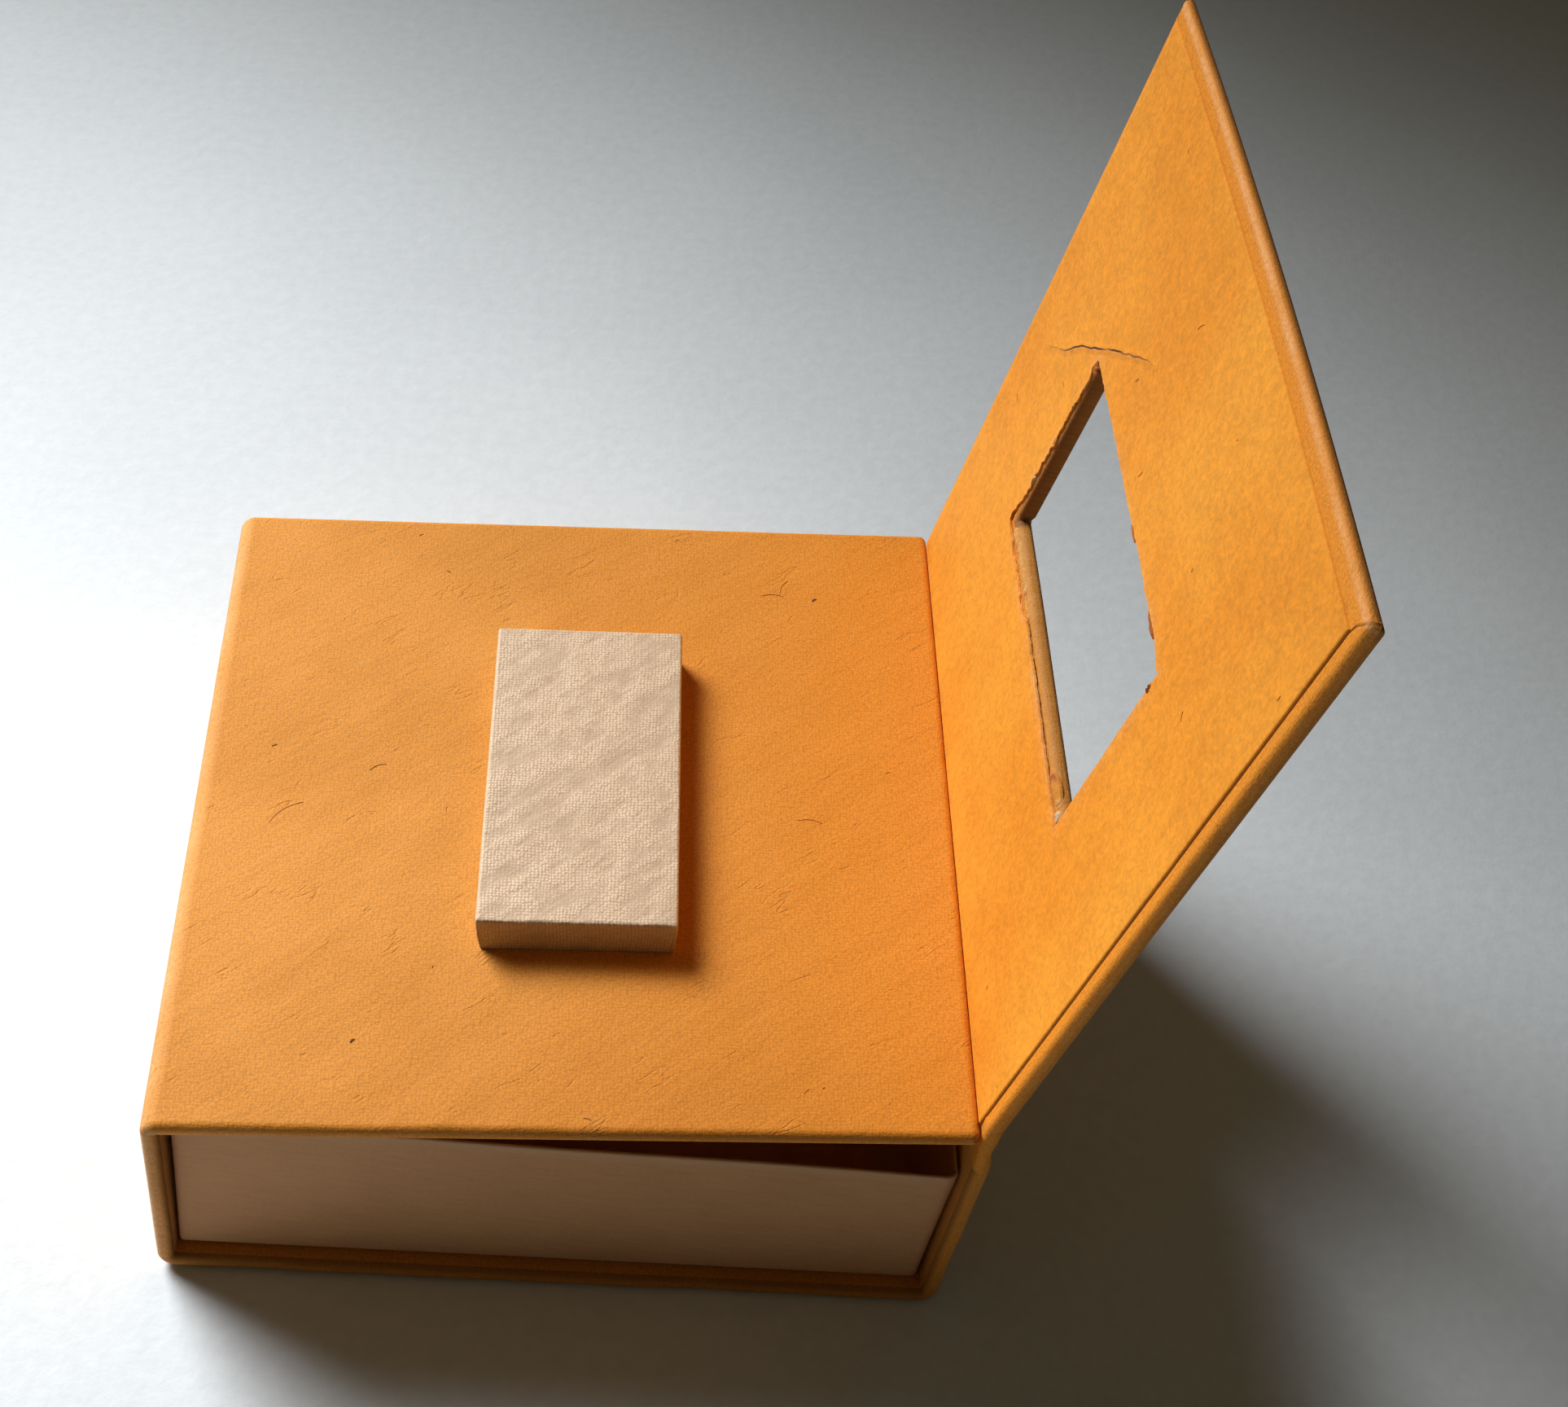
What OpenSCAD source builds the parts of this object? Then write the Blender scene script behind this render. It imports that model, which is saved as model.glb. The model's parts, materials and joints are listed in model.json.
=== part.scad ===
// Paper box: a case of covered board wraps round a tray. An inner flap on the left wall lies over
// the tray and carries a block, and an outer lid on the right wall has a window that drops over the
// block. The box stands open: the lid leans back and the flap has sprung up from the tray.
// Sizes are in millimetres. +Z is up, the front faces -Y, and the lid is on the +X side.

/* [Case] */
// Outer width across the two side walls
case_w = 108.4; // [90:0.1:140]
// Depth from the front edges to the back edges
case_d = 109; // [90:0.5:140]
// Height of the flap's upper face above the table when the flap is pressed down
case_h = 35.5; // [26:0.5:60]
// Thickness of the covered board
board_t = 2.4; // [1.6:0.1:3.2]
// Rounding of the covered board's edges, where the paper wraps round them
board_edge_r = 0.6; // [0.2:0.1:0.8]
// Outer radius of the two folds along the base
base_fold_r = 2.6; // [1:0.1:4]
// Thickness of the paper where it folds with no board in it
paper_t = 0.8; // [0.4:0.1:1.2]

/* [Tray] */
// Thickness of the tray's card
tray_t = 1.8; // [1:0.1:2.6]
// Distance of the tray's front and back behind the edges of the case
tray_recess = 2.8; // [1:0.1:8]
// Gap between the tray and each side wall
tray_gap = 0.2; // [0.1:0.1:1]
// Gap between the tray's rim and the flap when the flap is pressed down
tray_headroom = 2.4; // [0.5:0.1:4]
// Outer radius of the folds round the tray's floor
tray_fold_r = 2.2; // [0.5:0.1:4]

/* [Flap] */
// Angle by which the flap has sprung up from the tray
flap_lift = 4.7; // [0:0.1:5]
// Gap between the flap's free edge and the right wall
flap_gap = 0.3; // [0.2:0.1:1]
// Gap between the flap's board and the paper of its fold
flap_fold_gap = 0.1; // [0.1:0.1:0.5]
// Radius of the flap's two free corners
flap_corner_r = 1.2; // [0.4:0.1:4]

/* [Block] */
// Width of the block, across the box
block_w = 26.3; // [16:0.1:40]
// Length of the block, front to back
block_d = 52.7; // [30:0.1:70]
// Height of the block above the flap
block_h = 6.1; // [4:0.1:10]
// Radius of the block's upper edges
block_edge_r = 0.9; // [0.2:0.1:2]
// Angle by which the block was glued out of square
block_skew = -0.5; // [-2:0.1:2]

/* [Lid] */
// Angle of the open lid, from closed
lid_open = 98; // [95:0.5:180]
// Distance by which the closed lid stands out past the left wall
lid_overhang = 0.4; // [0:0.1:6]
// Gap between the closed lid and the flap
lid_gap = 0.3; // [0.2:0.1:1]
// Height of the lid's soft strip above the sprung flap's edge
strip_spare = 1.4; // [1:0.1:4]
// Distance by which the lid's outer front corner has warped outwards
lid_twist = 4.2; // [0:0.1:6]
// Bow in the lid's outer edge, outwards at its middle
lid_bow = 0.9; // [0:0.1:2]
// Gap between the window and the block on the hinge side
window_near_gap = 0.5; // [0.4:0.1:2]
// Gap between the window and the block on the far side, which swings past the block's top
window_far_gap = 2.2; // [0.8:0.1:3]
// Gap between the window and each end of the block
window_end_gap = 0.5; // [0.3:0.1:2]

/* [Lining] */
// Thickness of the sheet pasted inside the lid
lining_t = 0.2; // [0.2:0.1:0.6]
// Thickness of the paste between that sheet and the board
paste_t = 0.1; // [0.1:0.1:0.3]
// Margin left bare along the lid's front edge
lining_front = 2.5; // [1:0.1:10]
// Margin left bare along the lid's back edge
lining_back = 1.2; // [0.5:0.1:10]
// Margin left bare along the lid's outer edge, at the front
lining_outer_front = 3.5; // [1:0.1:12]
// Margin left bare along the lid's outer edge, at the back
lining_outer_back = 2.8; // [1:0.1:12]

/* [Hidden] */
$fn = 64;

orange = "#DE9838";
bright_orange = "#EBA53A";
cream = "#D6C7A8";
pale_cream = "#E2DAC4";

// The inner faces of the walls, and the axis on which the flap turns: the centre of its rounded fold
wall_x = case_w / 2 - board_t;
flap_axis = [-wall_x, case_h - board_t];
flap_fold_r = board_t;
flap_len = 2 * wall_x - flap_gap;

// The lid turns on the middle of its own thickness, above the inner face of the right wall
lid_axis = [wall_x, case_h + lid_gap + lining_t + paste_t + board_t / 2];
lid_len = wall_x + case_w / 2 + lid_overhang;

// The stiff part of the lid starts above the sprung flap's edge, so the lid can swing past the flap
flap_tip_z = flap_axis.y + flap_len * sin(flap_lift) + board_t * cos(flap_lift);
strip_w = flap_tip_z - lid_axis.y + strip_spare;

// The block's reach from its middle, out of square as it is, and the window that drops over it
block_reach_x = (block_w * cos(block_skew) + block_d * abs(sin(block_skew))) / 2;
block_reach_y = (block_d * cos(block_skew) + block_w * abs(sin(block_skew))) / 2;
window_near = lid_axis.x - block_reach_x - window_near_gap;
window_far = lid_axis.x + block_reach_x + window_far_gap;
window_half_d = block_reach_y + window_end_gap;

tray_w = 2 * (wall_x - tray_gap);
tray_d = case_d - 2 * tray_recess;
tray_h = case_h - 2 * board_t - tray_headroom;
tray_inner_r = max(tray_fold_r - tray_t, 0.2);

// Steps in which a warped sheet is drawn, along it and across it
warp_steps = [4, 9];

// Depth of a cut past the face that it opens
past = 1;

// A point of the open lid: u along the lid from its axis, n out from the middle of its thickness
function lid_point(u, n) = [
    lid_axis.x - u * cos(lid_open) + n * sin(lid_open),
    lid_axis.y + u * sin(lid_open) + n * cos(lid_open)
];

// Distance of the lid from its plane, at u along it and y across it. The warp grows evenly from the soft
// strip, and from the back edge to the front.
function lid_warp(u, y) =
    let (reach = (u - strip_w) / (lid_len - strip_w), side = 2 * y / case_d)
    reach * (lid_twist * (1 - side) / 2 + lid_bow * (1 - side * side));

// Outline of a lid sheet in its own section: out along its inner face, round its edge and back.
// A sheet with no radius has a square edge.
function sheet_outline(end, inner, outer, radius) =
    let (
        run = end - radius - strip_w,
        places = [for (i = [0:warp_steps.x - 1]) strip_w + run * i / warp_steps.x],
        edge = [for (a = radius > 0 ? [0:30:90] : [0]) radius * [cos(a) - 1, 1 - sin(a)]]
    )
    concat(
        [for (u = places) [u, inner]],
        [for (i = [len(edge) - 1:-1:0]) [end + edge[i].x, inner + edge[i].y]],
        [for (e = edge) [end + e.x, outer - e.y]],
        [for (i = [warp_steps.x - 1:-1:0]) [places[i], outer]]
    );

// Triangles that close the end of a sheet: pairs across its outline, whose two faces run opposite ways
function end_cap(count) = [for (i = [0:count / 2 - 2], half = [0, 1])
    let (j = count - 1 - i)
    half == 0 ? [i, i + 1, j - 1] : [i, j - 1, j]
];

// Places across a sheet, with how far its section draws in there: the two edges are round
function sheet_stations(front, back, radius) =
    let (edge = [for (a = radius > 0 ? [20:35:90] : [90]) radius * [1 - cos(a), 1 - sin(a)]])
    concat(
        [for (e = edge) [front + e.x, e.y]],
        [for (i = [1:warp_steps.y - 1]) [front + (back - front) * i / warp_steps.y, 0]],
        [for (i = [len(edge) - 1:-1:0]) [back - edge[i].x, edge[i].y]]
    );

// Carries an XZ outline over the depth of the box
module along_depth(depth) {
    rotate([90, 0, 0]) linear_extrude(depth, center = true) children();
}

// Places a piece of the flap, drawn lying flat from the flap's axis along +X
module on_flap() {
    translate([flap_axis.x, 0, flap_axis.y]) rotate([0, -flap_lift, 0]) children();
}

// Places a piece of the lid, drawn closed: flat from the lid's axis along -X
module on_lid() {
    translate([lid_axis.x, 0, lid_axis.y]) rotate([0, lid_open, 0]) children();
}

// A rectangle on the X axis whose two upper corners are round
module round_top(width, height, radius) {
    translate([-width / 2, 0]) square([width, height - radius]);
    translate([radius - width / 2, 0]) square([width - 2 * radius, height]);
    for (side = [-1, 1])
        translate([side * (width / 2 - radius), height - radius]) circle(radius);
}

// A block that stands on the XY plane, with all four upper edges round
module soft_block(width, depth, height, radius) {
    intersection() {
        along_depth(depth) round_top(width, height, radius);
        rotate([0, 0, 90]) along_depth(width) round_top(depth, height, radius);
    }
}

// The same block turned over: the four lower edges are round
module soft_bowl(width, depth, height, radius) {
    translate([0, 0, height]) mirror([0, 0, 1]) soft_block(width, depth, height, radius);
}

// The plan of a board from x = from to x = to, with its two far corners round
module board_plan(from, to, radius) {
    translate([from, -case_d / 2]) square([to - radius - from, case_d]);
    translate([from, radius - case_d / 2]) square([to - from, case_d - 2 * radius]);
    for (side = [-1, 1])
        translate([to - radius, side * (case_d / 2 - radius)]) circle(radius);
}

// A rectangle on the X axis whose four corners are round
module soft_bar(width, height, radius) {
    intersection() {
        round_top(width, height, radius);
        translate([0, height]) mirror([0, 1]) round_top(width, height, radius);
    }
}

// Board covered in paper: the plan above, with its edges rounded except where it starts at a fold
module covered_board(from, to, radius) {
    reach = to - from + board_edge_r;
    intersection() {
        linear_extrude(board_t) board_plan(from, to, radius);
        translate([to - reach / 2, 0, 0]) along_depth(case_d) soft_bar(reach, board_t, board_edge_r);
        translate([to - reach / 2, 0, 0]) rotate([0, 0, 90]) along_depth(reach)
            soft_bar(case_d, board_t, board_edge_r);
    }
}

// A sheet of the lid, drawn closed: its outline carried from front to back over the warped plane.
// Its outer edge may run out of square.
module warped_sheet(front, back, end_front, end_back, inner, outer, radius) {
    rings = [for (s = sheet_stations(front, back, radius))
        let (end = end_front + (end_back - end_front) * (s.x - front) / (back - front))
        [for (p = sheet_outline(end - s.y, inner + s.y, outer - s.y, radius - s.y))
            [-p.x, s.x, p.y + lid_warp(p.x, s.x)]]
    ];
    count = len(rings[0]);
    last = (len(rings) - 1) * count;
    polyhedron(
        [for (ring = rings) each ring],
        concat(
            end_cap(count),
            [for (t = end_cap(count)) [last + t.x, last + t.z, last + t.y]],
            [for (j = [0:len(rings) - 2], i = [0:count - 1], half = [0, 1])
                let (a = j * count + i, b = j * count + (i + 1) % count)
                half == 0 ? [a, b + count, b] : [a, a + count, b + count]]
        )
    );
}

// The window in the closed lid's plan
module window_plan() {
    translate([-window_far, -window_half_d]) square([window_far - window_near, 2 * window_half_d]);
}

// Base and side walls, folded from one covered board. The left wall ends below the flap's fold.
module case_shell() {
    color(orange) along_depth(case_d) difference() {
        translate([0, case_h]) mirror([0, 1]) round_top(case_w, case_h, base_fold_r);
        translate([-wall_x, board_t]) square([2 * wall_x, case_h]);
        translate([-case_w / 2 - past, flap_axis.y]) square([board_t + 2 * past, board_t + past]);
    }
}

// Open tray of folded card, glued on the base
module tray() {
    inner_w = tray_w - 2 * tray_t;
    inner_d = tray_d - 2 * tray_t;
    color(pale_cream) translate([0, 0, board_t]) difference() {
        soft_bowl(tray_w, tray_d, tray_h, tray_fold_r);
        translate([0, 0, tray_t]) soft_bowl(inner_w, inner_d, tray_h, tray_inner_r);
    }
}

// Rounded paper fold from the left wall's outer face to the upper face of the flap
module flap_fold() {
    reach = 2 * flap_fold_r;
    end = 90 + flap_lift;
    color(orange) translate([flap_axis.x, 0, flap_axis.y]) along_depth(case_d) intersection() {
        difference() {
            circle(flap_fold_r);
            circle(flap_fold_r - paper_t);
        }
        polygon([[0, 0], reach * [cos(end), sin(end)], reach * [-1, 1], [-reach, 0]]);
    }
}

// Covered board over the tray
module inner_flap() {
    color(orange) on_flap() covered_board(flap_fold_gap, flap_len, flap_corner_r);
}

// Paper-covered block in the middle of the flap
module closing_block() {
    color(cream) on_flap() translate([-flap_axis.x, 0, board_t]) rotate([0, 0, block_skew])
        soft_block(block_w, block_d, block_h, block_edge_r);
}

// Soft strip of paper from the right wall's outer face to the lid's outer face
module lid_fold() {
    color(orange) along_depth(case_d) polygon([
        [case_w / 2 - paper_t, case_h],
        [case_w / 2, case_h],
        lid_point(strip_w, board_t / 2),
        lid_point(strip_w, board_t / 2 - paper_t)
    ]);
}

// Cuts the window through a sheet of the lid
module windowed() {
    reach = board_t + lid_twist + lid_bow + past;
    difference() {
        children();
        linear_extrude(2 * reach, center = true) window_plan();
    }
}

// Outer covered board with its window, warped as it stands
module lid() {
    color(orange) on_lid() windowed()
        warped_sheet(-case_d / 2, case_d / 2, lid_len, lid_len, -board_t / 2, board_t / 2, board_edge_r);
}

// Sheet pasted inside the lid, cut a little out of square at its outer edge
module lid_lining() {
    front = lining_front - case_d / 2;
    back = case_d / 2 - lining_back;
    ends = [lid_len - lining_outer_front, lid_len - lining_outer_back];
    outer = -board_t / 2 - paste_t;
    color(bright_orange) on_lid() windowed()
        warped_sheet(front, back, ends.x, ends.y, outer - lining_t, outer, 0);
}

case_shell();
tray();
flap_fold();
inner_flap();
closing_block();
lid_fold();
lid();
lid_lining();
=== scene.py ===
"""Looks of a wrap-around paper box: covered boards, soft folds, a torn window and a cream block.

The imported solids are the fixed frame, and every piece here replaces or dresses one of them.
Surfaces are worked out in millimetres and put into the meshes in metres, in the part's own frame:
+X towards the lid's hinge, +Y to the back, +Z up.
"""

import json
import math
from types import SimpleNamespace

import bpy
import numpy as np
from bpy.props import FloatProperty, FloatVectorProperty, PointerProperty
from bpy.types import Operator, Panel, PropertyGroup
from mathutils import Matrix, Vector


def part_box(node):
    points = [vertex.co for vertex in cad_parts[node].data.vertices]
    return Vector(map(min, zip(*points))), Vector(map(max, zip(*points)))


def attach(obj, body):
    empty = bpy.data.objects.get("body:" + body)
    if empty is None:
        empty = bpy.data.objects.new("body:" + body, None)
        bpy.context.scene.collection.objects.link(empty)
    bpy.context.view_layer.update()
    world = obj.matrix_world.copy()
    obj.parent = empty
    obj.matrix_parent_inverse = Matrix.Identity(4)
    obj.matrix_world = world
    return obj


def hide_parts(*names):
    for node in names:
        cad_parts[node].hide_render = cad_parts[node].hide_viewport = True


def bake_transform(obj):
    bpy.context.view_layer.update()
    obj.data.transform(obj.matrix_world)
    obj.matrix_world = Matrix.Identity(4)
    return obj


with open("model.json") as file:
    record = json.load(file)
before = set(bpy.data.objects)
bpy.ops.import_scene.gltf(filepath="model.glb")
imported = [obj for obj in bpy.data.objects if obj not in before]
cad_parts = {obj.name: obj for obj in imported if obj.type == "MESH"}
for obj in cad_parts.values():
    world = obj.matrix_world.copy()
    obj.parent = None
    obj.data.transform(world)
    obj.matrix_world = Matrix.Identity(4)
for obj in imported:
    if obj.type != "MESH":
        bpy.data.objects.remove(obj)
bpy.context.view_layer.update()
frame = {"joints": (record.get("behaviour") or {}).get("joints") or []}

bl_info = {
    "name": "Paper Box",
    "version": (1, 0, 0),
    "blender": (4, 5, 0),
    "location": "View3D > Sidebar > Paper Box",
    "description": "Dresses a wrap-around paper box with a windowed lid",
    "category": "Object",
}

MM = 0.001

# What the frame already knows: the case's reach, and the two axes with the angles that rest has
CASE_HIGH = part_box("case_shell")[1]
JOINTS = {joint["name"]: joint for joint in frame["joints"]}
LID_JOINT, FLAP_JOINT = JOINTS["lid_hinge"], JOINTS["flap_hinge"]
LID_X, LID_Z = LID_JOINT["pos_m"][0] / MM, LID_JOINT["pos_m"][2] / MM
FLAP_X, FLAP_Z = FLAP_JOINT["pos_m"][0] / MM, FLAP_JOINT["pos_m"][2] / MM
LID_OPEN = math.radians(-LID_JOINT["range_deg"][0])
FLAP_LIFT = math.radians(-FLAP_JOINT["range_deg"][0])
HALF_W, HALF_D, CASE_TOP = CASE_HIGH.x / MM, CASE_HIGH.y / MM, CASE_HIGH.z / MM
BOARD = HALF_W - LID_X

# How grid lines are spaced over a rounded edge
FROM_EDGE, TO_EDGE = "from edge", "to edge"

# Faces that meet at more than this stay sharp
SHARP = math.radians(50)

# Distance between the parts of the paper's pattern that two pages take, in millimetres
PAGE = 400.0


def length(label, description, value):
    """A length property whose default is given in millimetres."""
    return FloatProperty(
        name=label, description=description, default=value * MM, unit="LENGTH", precision=5
    )


def colour(label, description, value):
    """A colour property, in linear light."""
    return FloatVectorProperty(
        name=label, description=description, default=value, subtype="COLOR", min=0, max=1
    )


class PaperBoxSizes(PropertyGroup):
    """Sizes of the covered boards, folds, tray and block."""

    edge: length("Board edge", "Rounding where paper wraps a board's edge", 1.12)
    case_edge: length("Case edge", "Rounding of the case's front and back edges", 1.12)
    base_fold: length("Base fold", "Outer radius of the folds along the base", 2.6)
    left_lean: length("Left wall's lean", "Distance by which the left wall leans in at the base", 1.05)
    right_lean: length("Right wall's lean", "Distance by which the right wall leans in at the base", 0.45)
    flap: length("Flap length", "Length of the flap from its axis", 103.5)
    flap_corner: length("Flap corner", "Radius of the flap's free corners", 0.6)
    hinge_valley: length("Hinge valley", "Depth of the crease along the lid's strip", 0.4)
    lid_start: length("Lid start", "Distance of the lid's stiff board from its axis", 8.06)
    lid: length("Lid length", "Length of the lid from its axis", 106.4)
    fore_edge: length("Fore edge", "Rounding of the lid's outer edge", 0.65)
    lid_corner: length("Lid corner", "Radius of the lid's free corners", 0.7)
    window_near: length("Window, hinge side", "Distance of the window from the lid's axis", 37.92)
    window_far: length("Window, far side", "Distance of the window's far side", 67.38)
    window_half: length("Window, half", "Half of the window's length, front to back", 26.96)
    window_roll: length("Window roll", "Rounding of the window's hinge side", 1.15)
    lining: length("Lining", "Thickness of the sheet pasted inside the lid, with its paste", 0.3)
    lining_start: length("Lining, hinge side", "Distance of the lining from the lid's axis", 6.0)
    lining_front: length("Lining, front", "Bare margin along the lid's front edge", 2.5)
    lining_back: length("Lining, back", "Bare margin along the lid's back edge", 1.2)
    lining_fore_front: length("Lining, fore front", "Bare fore margin, at the front", 3.5)
    lining_fore_back: length("Lining, fore back", "Bare fore margin, at the back", 2.8)
    block_w: length("Block width", "Width of the block", 26.7)
    block_d: length("Block length", "Length of the block, front to back", 52.8)
    block_h: length("Block height", "Height of the block above the flap", 6.1)
    block_edge: length("Block edge", "Rounding of the block's upper edges", 0.45)
    block_corner: length("Block corner", "Rounding of the block's upright edges", 0.4)
    tray_half_w: length("Tray half width", "Half of the tray's outer width", 51.0)
    tray_half_d: length("Tray half depth", "Half of the tray's outer depth", 51.7)
    tray_card: length("Tray card", "Thickness of the tray's card", 0.6)
    tray_rim: length("Tray rim", "Height of the tray's rim above the table", 30.7)
    tray_fold: length("Tray fold", "Outer radius of the folds round the tray's floor", 0.9)


class PaperBoxWear(PropertyGroup):
    """How far age has warped, cracked and torn the box."""

    lid_twist: length("Lid twist", "Distance by which the front outer corner has warped out", 4.2)
    lid_bow: length("Lid bow", "Bow of the lid's fore edge", 0.9)
    rim_rise: length("Rim rise", "Rise of the tray's rim at its front", 0.95)
    rim_fall: length("Rim fall", "Fall of the tray's front rim from left to right", 4.1)
    lift: length("Lift", "Height to which torn lining edges lift", 0.18)
    rag: length("Rag", "Depth of the ragged edge round the window", 0.4)
    crack: length("Crack", "Height of the lips of the crack above the window", 0.16)
    cockle: length("Cockle", "Height of the waves in the covering paper", 0.07)


class PaperBoxColours(PropertyGroup):
    """Colours of the papers, card and table."""

    orange_light: colour("Orange, light", "Covering paper where it is palest", (0.655, 0.272, 0.041))
    orange_deep: colour("Orange, deep", "Covering paper where it is darkest", (0.59, 0.235, 0.029))
    # Where the flap takes less of this deeper tone, on its left, the paler paper is a painted glare
    orange_fresh: colour("Orange, fresh", "Covering paper where it is not faded", (0.78, 0.275, 0.017))
    lining_light: colour("Lining, light", "Lining sheet where it is palest", (0.91, 0.37, 0.032))
    lining_deep: colour("Lining, deep", "Lining sheet where it is darkest", (0.83, 0.30, 0.019))
    # Pale colour for rubbed edges, and also for painted highlights on the flap's fold, the left wall's edges
    # and the lid's fore edge
    worn: colour("Worn edge", "Covering paper where it is rubbed", (0.90, 0.55, 0.29))
    fibre: colour("Fibre", "Fibres and specks in the paper", (0.33, 0.13, 0.03))
    # Dark colour for dirt, and also for painted shade in grooves and gaps and on edges turned from the light
    dirt: colour("Dirt", "Creases and gaps where dirt has settled", (0.10, 0.035, 0.012))
    ply: colour("Torn ply", "Inside of the board where its cover is torn off", (0.76, 0.40, 0.13))
    # Used for red-brown scraps, and also for painted shade: the blister's dark sickle and the dark orange
    # curls
    rust: colour("Torn bits", "Crumbs of cover left at the window's edge", (0.36, 0.09, 0.03))
    # Also the colour of the block's painted highlight along its left edge and of the painted glint on its
    # dots
    cream_light: colour("Cream, light", "Block's paper on its raised threads", (0.70, 0.54, 0.37))
    cream_deep: colour("Cream, deep", "Block's paper between its threads", (0.45, 0.325, 0.215))
    # Both card colours are a tan-brown that paints the warm shade over the tray's cream card
    card_light: colour("Card, light", "Tray's card where it is palest", (0.66, 0.345, 0.155))
    card_deep: colour("Card, deep", "Tray's card where it is darkest", (0.56, 0.28, 0.12))
    table: colour("Table", "Table top", (0.74, 0.81, 0.87))


class PaperBoxStage(PropertyGroup):
    """Camera and light."""

    lens: FloatProperty(
        name="Lens", description="Camera lens", default=56.253, subtype="DISTANCE_CAMERA"
    )
    key: FloatProperty(
        name="Key", description="Power of the soft key light", default=1.28, unit="POWER"
    )
    spread: FloatProperty(
        name="Spread", description="Full angle of the key light's beam",
        default=math.radians(58), subtype="ANGLE",
    )
    fill: FloatProperty(
        name="Fill", description="Strength of the light from all round", default=0.053
    )


def in_mm(group):
    """The group's values as plain numbers, in millimetres."""
    return SimpleNamespace(**{name: getattr(group, name) / MM for name in group.__annotations__})


# Places on the box

def on_flap(x, y, h):
    """Points at x along the flap from its axis, at depth y, h above the flap's underside."""
    c, s = math.cos(FLAP_LIFT), math.sin(FLAP_LIFT)
    return np.stack([FLAP_X + x * c - h * s, y + 0 * x, FLAP_Z + x * s + h * c], -1)


def lid_warp(u, y, wear, sizes):
    """Distance of the lid from its flat plane, growing evenly from the strip to the fore edge: a twist
    that is full at the front and nothing at the back, and a bow that is full at the middle."""
    reach = np.clip((u - sizes.lid_start) / (sizes.lid - sizes.lid_start), 0, None)
    side = y / HALF_D
    return reach * (wear.lid_twist * (1 - side) / 2 + wear.lid_bow * (1 - side ** 2))


def on_lid(u, y, n, wear, sizes):
    """Points at u along the open lid from its axis, n out from the middle of its thickness."""
    c, s = math.cos(LID_OPEN), math.sin(LID_OPEN)
    out = n + lid_warp(u, y, wear, sizes)
    return np.stack([LID_X - u * c + out * s, y + 0 * out, LID_Z + u * s + out * c], -1)


def lean_at(x, z, sizes):
    """Share of its width by which the case draws in at height z: all at the base, none at the flap."""
    lean = np.where(x < 0, sizes.left_lean, sizes.right_lean)
    return lean / HALF_W * held(1 - z / FLAP_Z)


# Surfaces

def held(value):
    """The value, held between 0 and 1."""
    return np.clip(value, 0, 1)


def crossed(first, second):
    """Two sets of grid lines as one grid: the place along each set, at every crossing."""
    return np.meshgrid(first, second, indexing="ij")


def spaced(*marks):
    """Grid lines from the first mark to the last: each (place, step) sets the step up to the next. Over
    a rounded edge, at FROM_EDGE or up TO_EDGE, they lie at equal turns of a quarter circle."""
    turn = np.linspace(0, np.pi / 2, 8, endpoint=False)
    runs = []
    for (at, step), (to, _) in zip(marks[:-1], marks[1:]):
        if step == FROM_EDGE:
            share = 1 - np.cos(turn)
        elif step == TO_EDGE:
            share = np.sin(turn)
        else:
            share = np.linspace(0, 1, max(1, round(abs(to - at) / step)), endpoint=False)
        runs.append(at + (to - at) * share)
    return np.append(np.concatenate(runs), marks[-1][0])


def between_edges(half, edge, step):
    """Grid lines from -half to half, with a rounded edge at both ends."""
    return spaced((-half, FROM_EDGE), (edge - half, step), (half - edge, TO_EDGE), (half, 0))


def around(u, y, near, far, front, back):
    """Which cells of a grid to keep round a window that lies between these grid lines."""
    slip = 1e-6
    inside_u = (u[:-1] > near - slip) & (u[1:] < far + slip)
    inside_y = (y[:-1] > front - slip) & (y[1:] < back + slip)
    return ~np.outer(inside_u, inside_y)


def narrowed(x, y, end, corner):
    """Depths y on a board, drawn together over the last of its length to round its free corners."""
    drawn = corner - np.sqrt(corner ** 2 - np.clip(x - end + corner, 0, corner) ** 2)
    return y * (1 - drawn / HALF_D)


def ripple(x, y, wavelength, seed, waves=9):
    """Smooth random relief, about -1 to 1: a sum of cosines of one wavelength in random directions."""
    draw = np.random.default_rng(seed)
    turn, phase = draw.uniform(0, 2 * np.pi, (2, waves))
    pace = 2 * np.pi / wavelength * draw.uniform(0.75, 1.3, waves)
    across = x[..., None] * np.cos(turn) + y[..., None] * np.sin(turn)
    return np.cos(pace * across + phase).sum(-1) / math.sqrt(2 * waves)


def ragged(t, seed):
    """A torn outline along t, from 0 up: ripples of a long, a middle and a short wavelength."""
    waves = ((0.5, 9, 0), (0.35, 3.1, 1), (0.3, 1.1, 2))
    return np.clip(0.45 + sum(a * ripple(t, 0 * t, w, seed + k) for a, w, k in waves), 0, None)


def rounding(near, radius):
    """Fall of a rounded edge, a quarter circle: near is 1 on the edge and 0 at one radius inside it."""
    return radius * (1 - np.sqrt(1 - held(near) ** 2))


def nearness(distance, radius):
    """1 on an edge, falling evenly to 0 at one radius inside it."""
    return held(1 - distance / radius)


def bell(distance, width):
    """1 at no distance, falling away as a bell curve of the given width."""
    return np.exp(-(distance / width) ** 2)


def from_path(u, y, path):
    """Distance of each point from a path of straight runs."""
    reach = np.full(np.shape(u), np.inf)
    for (u0, y0), (u1, y1) in zip(path[:-1], path[1:]):
        du, dy = u1 - u0, y1 - y0
        share = held(((u - u0) * du + (y - y0) * dy) / (du * du + dy * dy))
        reach = np.minimum(reach, np.hypot(u - u0 - share * du, y - y0 - share * dy))
    return reach


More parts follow.
